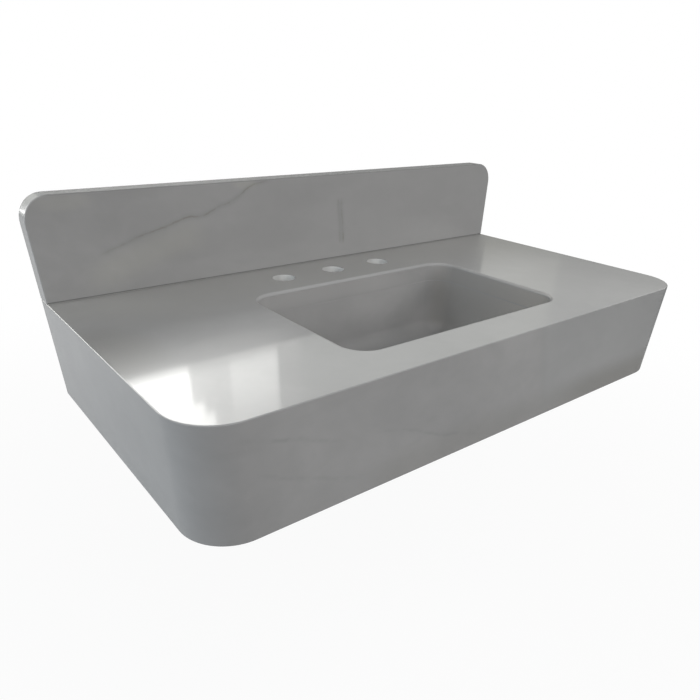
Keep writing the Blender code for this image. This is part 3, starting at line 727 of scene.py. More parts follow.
def make_deck():
    edge = rounded_edge(ease, deck_top - ease, deck_top)
    levels = [(slab - mitre_lip, deck_bottom), (0, deck_top - mitre_lip), *edge]
    deck = solid("deck_stone", [[at_level(sink_outline(inset), z) for inset, z in levels]])
    cutters = [flared_cutter(opening_outline, opening_ease, 10)]
    for place in (-1, 0, 1):
        cutters.append(flared_cutter(lambda outset: tap_hole_outline(place, outset), tap_hole_ease, 4))
    blind_bores = (
        (insert_bore_radius, insert_bore_depth, bolt_x, (bolt_rear_y, bolt_front_y)),
        (stud_bore_radius, stud_bore_depth, stud_x, (middle_y - stud_row, middle_y + stud_row)),
    )
    for sign in (-1, 1):
        for radius, deep, x, rows in blind_bores:
            for y in rows:
                plan = shifted(circle(radius, bore_sides), sign * x, y)
                cutters.append([at_level(plan, z) for z in (deck_bottom - overrun, deck_bottom + deep)])
    combine(deck, solid("deck_cutters", cutters), "DIFFERENCE")
    return dress(finished(deck), marble, "deck_slab")


make_deck()

# %% [markdown]
# ## The apron
#
# Under the deck's mitre hang three straight panels and two quarter-round corner blocks.
# All five have one section, so it is written once and swept along x, along y, or round
# a corner's centre. Set tight against each other and the mitre, they read as one block,
# which is how a mason dresses such joints.

# %% Apron panels and corner blocks
def apron_section():
    """(inset from the outer face, level) pairs round the apron's section."""
    bottom = rounded_edge(ease, apron_bottom + ease, apron_bottom)
    top_outer, top_inner = deck_top - mitre_lip, deck_bottom
    inner = top_outer - top_inner
    return [*reversed(bottom), (0, top_outer), (inner, top_inner), (slab, top_inner), (slab, apron_bottom)]


def make_aprons():
    section = apron_section()
    turn_x, turn_y = half_width - front_corner_radius, front_corner_radius - depth
    rings = [[(x, inset - depth, z) for inset, z in section] for x in (-turn_x, turn_x)]
    stone_piece("front_panel", [rings], "front_apron")
    for side, sign in (("left", -1), ("right", 1)):
        rings = [[(sign * (half_width - inset), y, z) for inset, z in section] for y in (0, turn_y)]
        stone_piece("side_panel_" + side, [rings], "side_apron_" + side)
        rings = []
        for k in range(corner_steps + 1):
            turn = math.radians(90 * k / corner_steps)
            ring = []
            for inset, z in section:
                radius = front_corner_radius - inset
                ring.append((sign * (turn_x + radius * math.cos(turn)), turn_y - radius * math.sin(turn), z))
            rings.append(ring)
        stone_piece("corner_block_" + side, [rings], "apron_corner_" + side)


make_aprons()

# %% [markdown]
# ## The backsplash
#
# An upright slab with round upper corners, eased along its front edge only, because its
# back lies against the wall. Its rings are front views, stacked along y.

# %% Backsplash
splash_corner_steps = 28


def splash_outline(inset):
    """The front view of the backsplash as (x, z), moved in at its ends and top."""
    x, z = half_width - splash_corner_radius, splash_high.z - splash_corner_radius
    radius = splash_corner_radius - inset
    right = arc(x, z, radius, 0, 90, splash_corner_steps)
    left = arc(-x, z, radius, 90, 180, splash_corner_steps)
    return [(half_width - inset, splash_low.z), *right, *left, (inset - half_width, splash_low.z)]


def make_backsplash():
    face = splash_low.y
    edge = rounded_edge(ease, face + ease, face)
    rings = [[(x, y, z) for x, z in splash_outline(inset)] for inset, y in [(0, 0), *edge]]
    return stone_piece("backsplash_stone", [rings], "backsplash")


make_backsplash()

# %% [markdown]
# ## The basin
#
# The basin is carved from one block: a flange under the deck, near-upright walls, a
# generous fillet and a floor that falls to the outlet. Its section is a closed loop of
# rings, from the rim down the inside, through the outlet and back up the outside. The
# rings change from a rounded rectangle to a circle, so both have as many points.

# %% Basin
outline_points = len(opening_outline(0))
seat_radius, outlet_radius, seat_ease = 0.0335, 0.023, 0.0008
waste_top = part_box("waste_body")[1].z
flange_seat = 0.0030
seat_level = waste_top - flange_seat


def outlet_ring(radius, level):
    """A circle round the waste with as many points as the cut-out's outline."""
    return at_level(shifted(circle(radius, outline_points, 180 / outline_points), 0, middle_y), level)


def make_basin():
    rim, bottom = basin_high.z, basin_low.z
    floor = bottom + bowl_floor_thickness
    outlet_level = floor - outlet_fall
    corner = bowl_fillet + bowl_draft
    inner = [(0, rim)] + [(-u, z) for u, z in arc(corner, floor + bowl_fillet, bowl_fillet, 180, 270, 14)]
    outer = arc(basin_wall - outer_fillet, bottom + outer_fillet, outer_fillet, -90, 0, 12)
    under = rim - flange_thickness
    outer += [(basin_wall, under), (flange_width, under), (flange_width, rim)]
    rings = [at_level(opening_outline(outset), z) for outset, z in inner]
    for inset, z in rounded_edge(seat_ease, outlet_level - seat_ease, outlet_level, 4)[::-1]:
        rings.append(outlet_ring(seat_radius + inset, z))
    rings += [outlet_ring(seat_radius, seat_level), outlet_ring(outlet_radius, seat_level)]
    rings.append(outlet_ring(outlet_radius, bottom))
    rings += [at_level(opening_outline(outset), z) for outset, z in outer]
    return stone_piece("basin_stone", [rings], "basin", joined=True)


make_basin()

# %% [markdown]
# ## Sealant joints
#
# A bead of sealant fills the joint under the backsplash and the one between the basin's
# flange and the deck. Tooled with a wet finger, its face is a shallow hollow between the
# two stones, so its section is two flat faces and one arc.

# %% Sealant beads
basin_bead_width, basin_bead_hollow = 0.023, 0.0001
splash_bead_hollow, splash_bead_back = 0.0006, -0.0005


def hollow_face(low, high, hollow, steps=6):
    """(inset, level) pairs of a bead's tooled face between two levels."""
    middle, half = (low + high) / 2, (high - low) / 2
    shares = [2 * k / steps - 1 for k in range(steps + 1)]
    return [(hollow / 4 + hollow * math.cos(math.radians(90 * t)), middle + half * t) for t in shares]


def make_beads():
    face = hollow_face(basin_high.z, deck_bottom, basin_bead_hollow)
    levels = [*face, (basin_bead_width, deck_bottom), (basin_bead_width, basin_high.z)]
    bead = solid("basin_bead", [[at_level(opening_outline(inset), z) for inset, z in levels]], joined=True)
    dress(finished(bead), stone_sealant, "basin_sealant")
    rings = []
    for inset, z in hollow_face(deck_top, splash_low.z, splash_bead_hollow):
        x, y = half_width - inset, splash_low.y + inset
        rings.append(at_level([(-x, y), (x, y), (x, splash_bead_back), (-x, splash_bead_back)], z))
    dress(finished(solid("backsplash_bead", [rings])), sealant, "backsplash_sealant")


make_beads()

# %% [markdown]
# ## Fixings that repeat
#
# Bolts, washers, inserts, studs, nuts and clips each come four times, at the corners of
# a rectangle. Geometry Nodes suit that: one tree puts a piece on the corners of a grid,
# turns it half round on the left where it has a hand, and makes the copies real. Bolts
# and studs are skins whose rings follow the screw thread, so the thread is shape and not
# only shading.


# %% A tree that sets a piece at four corners
def new_tree(name, inputs):
    """An empty geometry tree with named inputs and one geometry output."""
    tree = bpy.data.node_groups.new(name, "GeometryNodeTree")
    for label, kind, value in inputs:
        socket = tree.interface.new_socket(label, in_out="INPUT", socket_type="NodeSocket" + kind)
        if value is not None:
            socket.default_value = value
    tree.interface.new_socket("Geometry", in_out="OUTPUT", socket_type="NodeSocketGeometry")
    given = node(tree, "NodeGroupInput")
    return tree, {label: given.output(label) for label, _, _ in inputs}


def close_tree(tree, geometry, material):
    """End a tree in Realize Instances and Set Material."""
    real = node(tree, "GeometryNodeRealizeInstances", sockets={0: geometry})
    coated = node(tree, "GeometryNodeSetMaterial", sockets={"Geometry": real, "Material": material})
    node(tree, "NodeGroupOutput", sockets={0: coated})


def grown(name, tree, **values):
    """The plain mesh object that a geometry tree makes with these inputs."""
    made = bpy.data.objects.new(name, bpy.data.meshes.new(name))
    scene.collection.objects.link(made)
    step = made.modifiers.new("tree", "NODES")
    step.node_group = tree
    for socket in tree.interface.items_tree:
        if socket.in_out == "INPUT" and socket.name.replace(" ", "_").lower() in values:
            step[socket.identifier] = values[socket.name.replace(" ", "_").lower()]
    plain_mesh(made)
    return made


def corners_tree():
    inputs = (
        ("Piece", "Object", None), ("Spacing X", "Float", 0.5), ("Spacing Y", "Float", 0.3),
        ("Middle Y", "Float", -0.2), ("Left Turn", "Float", 0.0), ("Material", "Material", None),
    )
    tree, given = new_tree("four_corners", inputs)
    sockets = {"Size X": given["Spacing X"], "Size Y": given["Spacing Y"], "Vertices X": 2, "Vertices Y": 2}
    grid = node(tree, "GeometryNodeMeshGrid", sockets=sockets)
    lift = node(tree, "ShaderNodeCombineXYZ", sockets={"Y": given["Middle Y"]})
    grid = node(tree, "GeometryNodeSetPosition", sockets={"Geometry": grid, "Offset": lift})
    place = node(tree, "GeometryNodeInputPosition")
    x = node(tree, "ShaderNodeSeparateXYZ", sockets={0: place})
    turn = node(tree, "ShaderNodeCombineXYZ", sockets={"Z": x.below(0.0) * given["Left Turn"]})
    piece = node(tree, "GeometryNodeObjectInfo", sockets={"Object": given["Piece"]}, output=4)
    sockets = {"Points": grid, "Instance": piece, "Rotation": turn}
    close_tree(tree, node(tree, "GeometryNodeInstanceOnPoints", sockets=sockets), given["Material"])
    return tree


four_corners = corners_tree()
print("four_corners:", [s.name for s in four_corners.interface.items_tree])


# %% Screw threads and hexagons
flank_slope, thread_depth_share, run_out_share, run_out_sink = 1.35, 0.6, 0.8, 0.9


def screw_ring(radius, depth, pitch, level, count):
    """A ring on a screw thread: its points dip by up to depth along the helix."""
    ring = []
    for k in range(count):
        share = k / count
        ridge = 1 - abs(2 * ((level / pitch - share) % 1) - 1)
        crest = min(1, max(0, flank_slope * ridge - (flank_slope - 1) / 2))
        reach, turn = radius - depth * (1 - crest), 2 * math.pi * share
        ring.append((reach * math.cos(turn), reach * math.sin(turn), level))
    return ring


def threaded_rings(radius, pitch, low, high, count, rows_in_turn=8):
    """Rings of a threaded rod, its thread run out at both ends."""
    rows = round((high - low) / pitch * rows_in_turn)
    depth = thread_depth_share * pitch
    rings = []
    for k in range(rows + 1):
        level = low + (high - low) * k / rows
        run_out = max(0.0, 1 - min(level - low, high - level) / (run_out_share * pitch))
        crest = radius - depth * run_out * run_out_sink
        rings.append(screw_ring(crest, depth * (1 - run_out), pitch, level, count))
    return rings


def hexagon_ring(flats, level, count, rise=0.0, share=1.0):
    """A hexagon of the given width across flats; rise lifts its corners along a chamfer."""
    ring = []
    for k in range(count):
        turn = math.radians(360 * k / count)
        radius = flats / 2 / math.cos(math.radians(360 * k / count % 60 - 30))
        reach = min(radius, flats / 2 * share) if share < 1 else radius
        height = level + rise * (radius - flats / 2)
        ring.append((reach * math.cos(turn), reach * math.sin(turn), height))
    return ring


def plain_ring(radius, level, count):
    return at_level(circle(radius, count), level)


print("thread rows for an 8 mm bolt:", len(threaded_rings(0.004, 0.00125, 0, 0.02, 24)))


# %% Sections of rings and nuts
def ring_section(inner, outer, low, high, edge, outer_edge=None):
    """(radius, level) pairs of a flat ring with chamfered edges."""
    rim = outer - (outer_edge or edge)
    section = [(inner, low + edge), (inner, high - edge), (inner + edge, high), (rim, high)]
    return section + [(outer, high - edge), (outer, low + edge), (rim, low), (inner + edge, low)]


def nut_rings(bore, lead, flats, low, high, upper, lower, count):
    """Rings of a nut; lead is the width and depth of its bore's chamfer.

    upper and lower are the share of the flats that each face keeps, the chamfer's depth
    and its rise towards the corners.
    """
    wide, deep = lead
    rings = [plain_ring(bore, low + deep, count), plain_ring(bore, high - deep, count)]
    rings.append(plain_ring(bore + wide, high, count))
    share, drop, rise = upper
    rings += [hexagon_ring(flats, high, count, share=share), hexagon_ring(flats, high - drop, count, -rise)]
    share, drop, rise = lower
    rings += [hexagon_ring(flats, low + drop, count, rise), hexagon_ring(flats, low, count, share=share)]
    return rings + [plain_ring(bore + wide, low, count)]


print("points in a washer's section:", len(ring_section(2, 4, 0, 1, 0.1)))

# %% Four copies that stand for four nodes
gap = 0.0003
steel_top, arm_thickness = 0.025, 0.008
arm_underside = steel_top - arm_thickness


def repeat_piece(name, unit, grid, finish, left_turn=0.0):
    """Put a unit piece at four corners; it stands for the nodes of its name without the s."""
    finished(unit, 35)
    values = dict(zip(("spacing_x", "spacing_y", "middle_y"), grid))
    made = grown(name, four_corners, piece=unit, left_turn=left_turn, material=finish, **values)
    bpy.data.objects.remove(unit)
    node_name = name.removesuffix("s")
    replaced = [f"{node_name}_{side}_{row}" for side in ("left", "right") for row in ("rear", "front")]
    return dress(made, finish, *replaced)


print("underside of the bracket arms at", arm_underside)

# %% Bolts, washers and inserts
bolt_grid = (2 * bolt_x, bolt_rear_y - bolt_front_y, (bolt_rear_y + bolt_front_y) / 2)
bolt_radius, bolt_pitch, bolt_flats, bolt_head, bolt_reach = 0.004, 0.00125, 0.013, 0.0053, 0.011
bolt_chamfer, bolt_chamfer_rise, bolt_face_shares = 0.0002, 0.55, (0.55, 0.94)
shank, thread_start = 0.004, 0.0045
washer_height, washer_bore, washer_radius, washer_edge = 0.0016, 0.0043, 0.0085, 0.0002
insert_height, insert_bore, insert_radius, insert_edge = 0.014, 0.0043, 0.0060, 0.0002
barbs, barb_depth, barb_step, first_barb, barb_pitch = 8, 0.0004, 0.0003, 0.0012, 0.0014
bolt_sides, insert_sides = 24, 36
head_top = arm_underside - 2 * gap - washer_height


def make_bolts():
    low = head_top - bolt_head
    bolt = [hexagon_ring(bolt_flats, low, bolt_sides, share=share) for share in bolt_face_shares]
    bolt.append(hexagon_ring(bolt_flats, low + bolt_chamfer, bolt_sides, bolt_chamfer_rise))
    bolt.append(hexagon_ring(bolt_flats, head_top, bolt_sides))
    bolt += [plain_ring(bolt_radius, head_top + up, bolt_sides) for up in (0, shank)]
    ends = (head_top + thread_start, deck_bottom + bolt_reach)
    bolt += threaded_rings(bolt_radius, bolt_pitch, *ends, bolt_sides)
    repeat_piece("deck_bolts", solid("bolt", [bolt]), bolt_grid, zinc_plate)


def make_washers():
    low, high = head_top + gap, arm_underside - gap
    section = ring_section(washer_bore, washer_radius, low, high, gap, washer_edge)
    rings = [plain_ring(radius, level, bore_sides) for radius, level in section]
    repeat_piece("deck_washers", solid("washer", [rings], True), bolt_grid, zinc_plate)


def make_inserts():
    top = deck_bottom + insert_height
    section = [(insert_bore, deck_bottom + gap), (insert_bore, top), (insert_radius - insert_edge, top)]
    for k in range(barbs):
        level = top - first_barb - k * barb_pitch
        for depth_share, steps in ((0, 1), (0, -1), (1, -2), (1, -3)):
            section.append((insert_radius - depth_share * barb_depth, level + steps * barb_step))
    section += [(insert_radius, deck_bottom), (insert_bore + gap, deck_bottom)]
    rings = [plain_ring(radius, level, insert_sides) for radius, level in section]
    repeat_piece("deck_inserts", solid("insert", [rings], True), bolt_grid, brass)


make_bolts()
make_washers()
make_inserts()

# %% Clips, studs and nuts
stud_grid = (2 * stud_x, 2 * stud_row, middle_y)
clip_top = basin_high.z - flange_thickness - gap
clip_thickness, clip_half_width, clip_hole, clip_fillet = 0.003, 0.012, 0.0033, 0.001
clip_low = clip_top - clip_thickness
stud_radius, stud_pitch, stud_below_nut, stud_reach = 0.003, 0.001, 0.010, 0.014
stud_sides, stud_rows_in_turn, drill_sides, nut_sides = 20, 6, 32, 36
nut_height, nut_bore, nut_flats = 0.005, 0.0033, 0.010
nut_lead, nut_chamfer = (0.0004, gap), (0.95, 0.0001, 0.5)
nut_top = clip_low - gap
nut_low = nut_top - nut_height


def make_clips():
    low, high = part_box("basin_clip_right_rear")
    tip, heel = low.x - stud_x, high.x - clip_thickness - stud_x
    bend = arc(heel, clip_low + clip_thickness, clip_thickness, 270, 360, 8)
    upright = [(heel + clip_thickness, deck_bottom - gap), (heel, deck_bottom - gap)]
    fillet = arc(heel - clip_fillet, clip_top + clip_fillet, clip_fillet, 0, -90, 4)
    section = [(tip, clip_low), *bend, *upright, *fillet, (tip, clip_top)]
    rings = [[(x, y, z) for x, z in section] for y in (-clip_half_width, clip_half_width)]
    clip = solid("clip", [rings])
    drill = [plain_ring(clip_hole, z, drill_sides) for z in (clip_low - overrun, clip_top + overrun)]
    combine(clip, solid("clip_drill", [drill]), "DIFFERENCE")
    repeat_piece("basin_clips", clip, stud_grid, galvanised, math.pi)


def make_studs():
    ends = (nut_low - stud_below_nut, deck_bottom + stud_reach)
    rings = threaded_rings(stud_radius, stud_pitch, *ends, stud_sides, stud_rows_in_turn)
    repeat_piece("clip_studs", solid("stud", [rings]), stud_grid, zinc_plate)


def make_nuts():
    levels, chamfers = (nut_low, nut_top), (nut_chamfer, nut_chamfer)
    rings = nut_rings(nut_bore, nut_lead, nut_flats, *levels, *chamfers, nut_sides)
    repeat_piece("clip_nuts", solid("nut", [rings], True), stud_grid, zinc_plate)


make_clips()
make_studs()
make_nuts()

# %% [markdown]
# ## Steel that stays, and its welds
#
# The wall cleat, the brackets and the rubber pads are plain bars, angles and strips, and
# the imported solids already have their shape, so they keep their mesh and get a finish.
# What the solids lack is the weld. A bead of weld is a row of overlapping ripples along
# a line, which a tree makes by sweeping a circle whose radius swells at each ripple.

# %% Steel and rubber nodes
steel_nodes = ("rear_cleat", "wall_bracket_left", "wall_bracket_right")
rubber_nodes = ("cleat_pad", "bracket_pad_left", "bracket_pad_right")
for finish, kept in ((galvanised, steel_nodes), (rubber, rubber_nodes)):
    for name in kept:
        nodes[name].data.materials.clear()
        nodes[name].data.materials.append(finish)
print("kept as they are:", len(steel_nodes + rubber_nodes), "nodes")


# %% A tree that sweeps a weld bead
def weld_tree():
    inputs = (
        ("Start", "Vector", (0, 0, 0)), ("End", "Vector", (0.1, 0, 0)), ("Bead Radius", "Float", 0.0025),
        ("Ripple Pitch", "Float", 0.0022), ("Ripple Share", "Float", 0.1), ("Material", "Material", None),
    )
    tree, given = new_tree("weld_bead", inputs)
    ends = {"Start": given["Start"], "End": given["End"]}
    line = node(tree, "GeometryNodeCurvePrimitiveLine", sockets=ends)
    sockets = {"Curve": line, "Length": given["Ripple Pitch"] * (1 / 6)}
    line = node(tree, "GeometryNodeResampleCurve", {"mode": "LENGTH"}, sockets)
    travel = node(tree, "GeometryNodeSplineParameter", output=1)
    turns = travel / given["Ripple Pitch"] * (2 * math.pi)
    swell = turns.math("SINE", turns) * given["Ripple Share"] + 1
    line = node(tree, "GeometryNodeSetCurveRadius", sockets={"Curve": line, "Radius": swell})
    sockets = {"Resolution": 12, "Radius": given["Bead Radius"]}
    ring = node(tree, "GeometryNodeCurvePrimitiveCircle", sockets=sockets)
    sockets = {"Curve": line, "Profile Curve": ring, "Fill Caps": True}
    close_tree(tree, node(tree, "GeometryNodeCurveToMesh", sockets=sockets), given["Material"])
    return tree


weld_bead = weld_tree()
print("weld_bead:", [s.name for s in weld_bead.interface.items_tree])

# %% Weld beads
bead_radius = 0.0022
arm_weld_half, web_offset, web_half = 0.024, 0.020, 0.003
web_weld_rear, web_weld_front = -0.012, -0.326
web_weld_top, web_weld_bottom = 0.006, 0.018


def weld_lines(side, sign):
    """Start and end of each weld on a bracket: arm to plate, and gusset to arm and plate."""
    low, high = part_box("wall_bracket_" + side)
    x, under, face = (low.x + high.x) / 2, high.z - arm_thickness, high.y - arm_thickness
    lines = [((x - arm_weld_half, face, under), (x + arm_weld_half, face, under))]
    for flank in (-web_half, web_half):
        web = x + sign * web_offset + flank
        lines.append(((web, web_weld_rear, under), (web, web_weld_front, under)))
        lines.append(((web, face, under - web_weld_top), (web, face, low.z + web_weld_bottom)))
    return lines


def merged(name, parts):
    """One object from several meshes."""
    bm = bmesh.new()
    for part in parts:
        bm.from_mesh(part.data)
        bpy.data.objects.remove(part)
    mesh = bpy.data.meshes.new(name)
    bm.to_mesh(mesh)
    bm.free()
    made = bpy.data.objects.new(name, mesh)
    scene.collection.objects.link(made)
    return made


for side, sign in (("left", -1), ("right", 1)):
    beads = []
    for k, (start, end) in enumerate(weld_lines(side, sign)):
        values = {"start": start, "end": end, "bead_radius": bead_radius, "material": galvanised}
        beads.append(grown(f"bead_{side}_{k}", weld_bead, **values))
    dress(finished(merged("bracket_welds_" + side, beads), 60), galvanised)

# %% [markdown]
# ## The waste
#
# The waste is turned brass with a chrome skin: a dished flange, a threaded body, three
# spokes that hold a hub, and inside the hub the sleeve of the click mechanism. Turned
# pieces are rings round one axis, and their sharp edges get small rounds that catch the
# light. The spokes are one bar set three times round the axis by a tree, and a boolean
# joins them to the body and the hub so that the casting is one mesh.

# %% Turned pieces
def at_outlet(rings):
    """Rings moved from the origin to the waste's axis."""
    return [[(x, y + middle_y, z) for x, y, z in ring] for ring in rings]


def turned(name, profile, together=True):
    """A piece turned about the waste's axis, from (radius, level) pairs."""
    return solid(name, [at_outlet(plain_ring(r, z, round_sides) for r, z in profile)], together)


def levels_of(name):
    """The lowest and the highest level of a node."""
    return [corner.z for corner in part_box(name)]


print("the waste spans", [round(level, 4) for level in levels_of("waste_body")])


# %% Spokes
def spokes_tree():
    inputs = (
        ("Count", "Int", 3), ("Middle Y", "Float", 0.0), ("Level", "Float", 0.0),
        ("Reach", "Float", 0.014), ("Length", "Float", 0.009), ("Width", "Float", 0.0025),
        ("Height", "Float", 0.0025), ("Material", "Material", None),
    )
    tree, given = new_tree("spokes", inputs)
    sockets = {"X": given["Length"], "Y": given["Width"], "Z": given["Height"]}
    size = node(tree, "ShaderNodeCombineXYZ", sockets=sockets)
    bar = node(tree, "GeometryNodeMeshCube", sockets={"Size": size})
    points = node(tree, "GeometryNodePoints", sockets={"Count": given["Count"]})
    turn = node(tree, "GeometryNodeInputIndex") * (2 * math.pi) / given["Count"]
    x, y = (turn.math(axis, turn) * given["Reach"] for axis in ("COSINE", "SINE"))
    sockets = {"X": x, "Y": y + given["Middle Y"], "Z": given["Level"]}
    place = node(tree, "ShaderNodeCombineXYZ", sockets=sockets)
    points = node(tree, "GeometryNodeSetPosition", sockets={"Geometry": points, "Position": place})
    spin = node(tree, "ShaderNodeCombineXYZ", sockets={"Z": turn})
    sockets = {"Points": points, "Instance": bar, "Rotation": spin}
    close_tree(tree, node(tree, "GeometryNodeInstanceOnPoints", sockets=sockets), given["Material"])
    return tree


spokes = spokes_tree()
print("spokes:", [s.name for s in spokes.interface.items_tree])

# %% Waste body
throat, waste_thread, waste_pitch, waste_flange = 0.0165, 0.0205, 0.0023, 0.0320
waste_dish = (
    (throat, 0.0044), (0.0168, 0.0036), (0.0190, 0.0008), (0.0198, 0.0003), (0.0214, 0.0001),
    (0.0305, 0.0), (0.0314, 0.0002), (0.0319, 0.0006), (waste_flange, 0.0010),
)
waste_flange_thickness, waste_flange_edge, plain_neck, neck_to_thread = 0.0016, 0.0002, 0.010, 0.0005
waste_end, waste_end_chamfer = 0.0006, 0.0020
hub_bore, hub_radius, hub_drop, hub_height, hub_edge = 0.0078, 0.01075, 0.026, 0.005, 0.0004
spoke_reach, spoke_length = 0.01365, 0.0083


def make_waste_body():
    """The casting; the dish is (radius, drop below the top) pairs from the throat to the rim."""
    bottom, under = levels_of("waste_body")[0], waste_top - waste_flange_thickness
    neck = under - plain_neck
    profile = [(throat, bottom + gap), *((radius, waste_top - drop) for radius, drop in waste_dish)]
    profile += [(waste_flange - waste_flange_edge, under), (waste_thread, under), (waste_thread, neck)]
    rings = [plain_ring(radius, level, round_sides) for radius, level in profile]
    ends = (bottom + waste_end, neck - neck_to_thread)
    rings += threaded_rings(waste_thread, waste_pitch, *ends, round_sides)[::-1]
    rings.append(plain_ring(waste_thread - waste_end_chamfer, bottom, round_sides))
    body = solid("waste_casting", [at_outlet(rings)], True)
    hub_high = waste_top - hub_drop
    hub_low = hub_high - hub_height
    hub = turned("waste_hub", ring_section(hub_bore, hub_radius, hub_low, hub_high, hub_edge))
    combine(body, hub, "UNION")
    values = {"middle_y": middle_y, "level": (hub_low + hub_high) / 2, "material": chrome}
    values |= {"reach": spoke_reach, "length": spoke_length}
    combine(body, grown("waste_spokes", spokes, **values), "UNION")
    return dress(finished(body, 35), chrome, "waste_body")


make_waste_body()

# %% Gaskets, washer and lock nut
clear_radius, lock_nut_flats = 0.0208, 0.058
lock_nut_lead, lock_nut_chamfers = (0.0006, 0.0006), ((0.96, 0.0003, 0.35), (0.94, 0.0006, 0.5))


def ring_for(node_name, name, inner, outer, edge, finish, body="root"):
    """A chamfered ring as high as the node that it stands for."""
    section = ring_section(inner, outer, *levels_of(node_name), edge)
    return dress(finished(turned(name, section), 50), finish, node_name, body=body)


for name, outer, edge, finish in (
    ("flange_gasket", 0.032, 0.0002, rubber),
    ("lower_gasket", 0.033, 0.0008, rubber),
    ("friction_washer", 0.032, 0.0003, plastic),
):
    ring_for(name, name + "_ring", clear_radius, outer, edge, finish)


def make_lock_nut():
    levels = levels_of("lock_nut")
    rings = nut_rings(clear_radius, lock_nut_lead, lock_nut_flats, *levels, *lock_nut_chamfers, round_sides)
    nut = solid("lock_nut_brass", [at_outlet(rings)], True)
    return dress(finished(nut, 30), brass, "lock_nut")


make_lock_nut()

# %% Tailpiece and sleeve
tube_bore, tube_radius, collar_radius, collar_height = 0.0145, 0.016, 0.020, 0.006
tube_edge, collar_edge, collar_round, mouth_edge = 0.0005, 0.0006, 0.0008, 0.0004
tail_seal_bore, tail_seal_edge = 0.0163, 0.0004
sleeve_bore, sleeve_head, sleeve_foot, head_height, foot_edge = 0.0043, 0.0095, 0.0075, 0.003, 0.0008


def make_tailpiece():
    low, high = levels_of("tailpiece")
    collar = levels_of("tailpiece_seal")[0] - gap
    under = collar - collar_height
    profile = [(tube_bore, low + mouth_edge), (tube_bore, high - mouth_edge), (tube_bore + tube_edge, high)]
    profile += [(tube_radius - tube_edge, high), (tube_radius, high - tube_edge), (tube_radius, collar)]
    profile += [(collar_radius - collar_edge, collar), (collar_radius, collar - collar_edge)]
    profile += [(collar_radius, under + collar_round), (collar_radius - collar_round, under)]
    profile += [(tube_radius + collar_round, under), (tube_radius, under - collar_round)]
    profile += [(tube_radius, low + tube_edge), (tube_radius - tube_edge, low), (tube_bore + tube_edge, low)]
    dress(finished(turned("tailpiece_tube", profile), 35), chrome, "tailpiece")
    ring_for("tailpiece_seal", "tailpiece_ring", tail_seal_bore, collar_radius, tail_seal_edge, rubber)


def make_sleeve():
    low, high = levels_of("click_cartridge")
    seat = high - head_height
    profile = [(sleeve_bore, low + mouth_edge), (sleeve_bore, high - tube_edge)]
    profile += [(sleeve_bore + tube_edge, high), (sleeve_head - tube_edge, high)]
    profile += [(sleeve_head, high - tube_edge), (sleeve_head, seat)]
    profile += [(sleeve_foot, seat), (sleeve_foot, low + foot_edge), (sleeve_foot - foot_edge, low)]
    profile.append((sleeve_bore + mouth_edge, low))
    dress(finished(turned("click_sleeve", profile), 35), plastic, "click_cartridge")


make_tailpiece()
make_sleeve()

# %% [markdown]
# ## The click plug
#
# The plug is the one piece that moves: pressed, it rises 10 mm on its stem. Its cap is a
# low dome with a rolled rim, so the profile is an arc for the rim and a shallow curve to
# the centre. It rides on the body named plug, and so does the seal under its cap.

# %% Plug and seal
stem_tip, stem_radius, stem_edge, cap_radius, cap_roll = 0.0002, 0.0040, 0.0006, 0.029, 0.0009
dome_steps, dome_power, dome_edge, dome_tip = 16, 0.9, 0.0012, 0.0003
seal_bore, seal_radius, seal_edge = 0.0205, 0.024, 0.0005


def make_plug():
    plug_low, plug_high = levels_of("drain_plug")
    cap = levels_of("plug_seal")[1] + gap
    rim = cap + 2 * cap_roll
    profile = [(stem_tip, plug_low), (stem_radius - stem_edge, plug_low), (stem_radius, plug_low + stem_edge)]
    profile += [(stem_radius, cap - stem_edge), (stem_radius + stem_edge, cap), (cap_radius - stem_edge, cap)]
    profile += arc(cap_radius - cap_roll, cap + cap_roll, cap_roll, -60, 75, 8)
    for k in range(1, dome_steps + 1):
        share = k / dome_steps
        radius = (cap_radius - dome_edge) * (1 - share) + dome_tip * share
        profile.append((radius, rim + (plug_high - rim) * math.sin(math.radians(90 * share)) ** dome_power))
    dress(finished(turned("plug_cap", profile, False), 35), chrome, "drain_plug", body="plug")
    ring_for("plug_seal", "plug_ring", seal_bore, seal_radius, seal_edge, rubber, "plug")


make_plug()

# %% [markdown]
# ## Floor, light and camera
#
# The sink hangs 85 cm above a pale floor. The light is plain and soft: one large lamp
# high in front, a second from the room on the right, and a cooler one from the left.
# The camera sees plain white past the sink and a nearly white floor, which keeps the
# sink's soft shadow and is all white further off.

# %% Floor
rim_height = 0.85
floor_level = deck_top - rim_height
floor_reach, floor_thickness = 14.0, 0.02
floor_in_mirror = 0.5


def make_floor():
    low, high = -floor_reach, floor_reach
    plan = [(low, low), (high, low), (high, high), (low, high)]
    levels = (floor_level - floor_thickness, floor_level)
    floor = solid("floor", [[at_level(plan, level) for level in levels]])
    paint = Finish("pale_floor", roughness=0.8)
    paint.feed(base_color=paint.mixed(paint.noise(3.0), (0.44, 0.44, 0.44), (0.48, 0.48, 0.48)))
    rays = node(paint.tree, "ShaderNodeLightPath")
    far = node(paint.tree, "ShaderNodeVectorMath", {"operation": "LENGTH"}, {0: paint.place}, 1)
    seen = (far.rise(0.8, 3.0) * 0.06 + 0.94) * rays.output("Is Camera Ray")
    mirrored = paint.y.rise(0.2, 2.4) * rays.output("Is Glossy Ray") * floor_in_mirror
    glow = node(paint.tree, "ShaderNodeEmission", sockets={"Color": (1, 1, 1, 1), "Strength": 1.0})
    shader = Value(paint.tree, paint.shader.outputs[0])
    mix = node(paint.tree, "ShaderNodeMixShader", sockets={0: mirrored + seen, 1: shader, 2: glow})
    paint.tree.links.new(mix.socket, paint.tree.nodes["Material Output"].inputs["Surface"])
    floor.data.materials.append(paint.material)
    return floor


make_floor()
print("floor at", round(floor_level, 3))

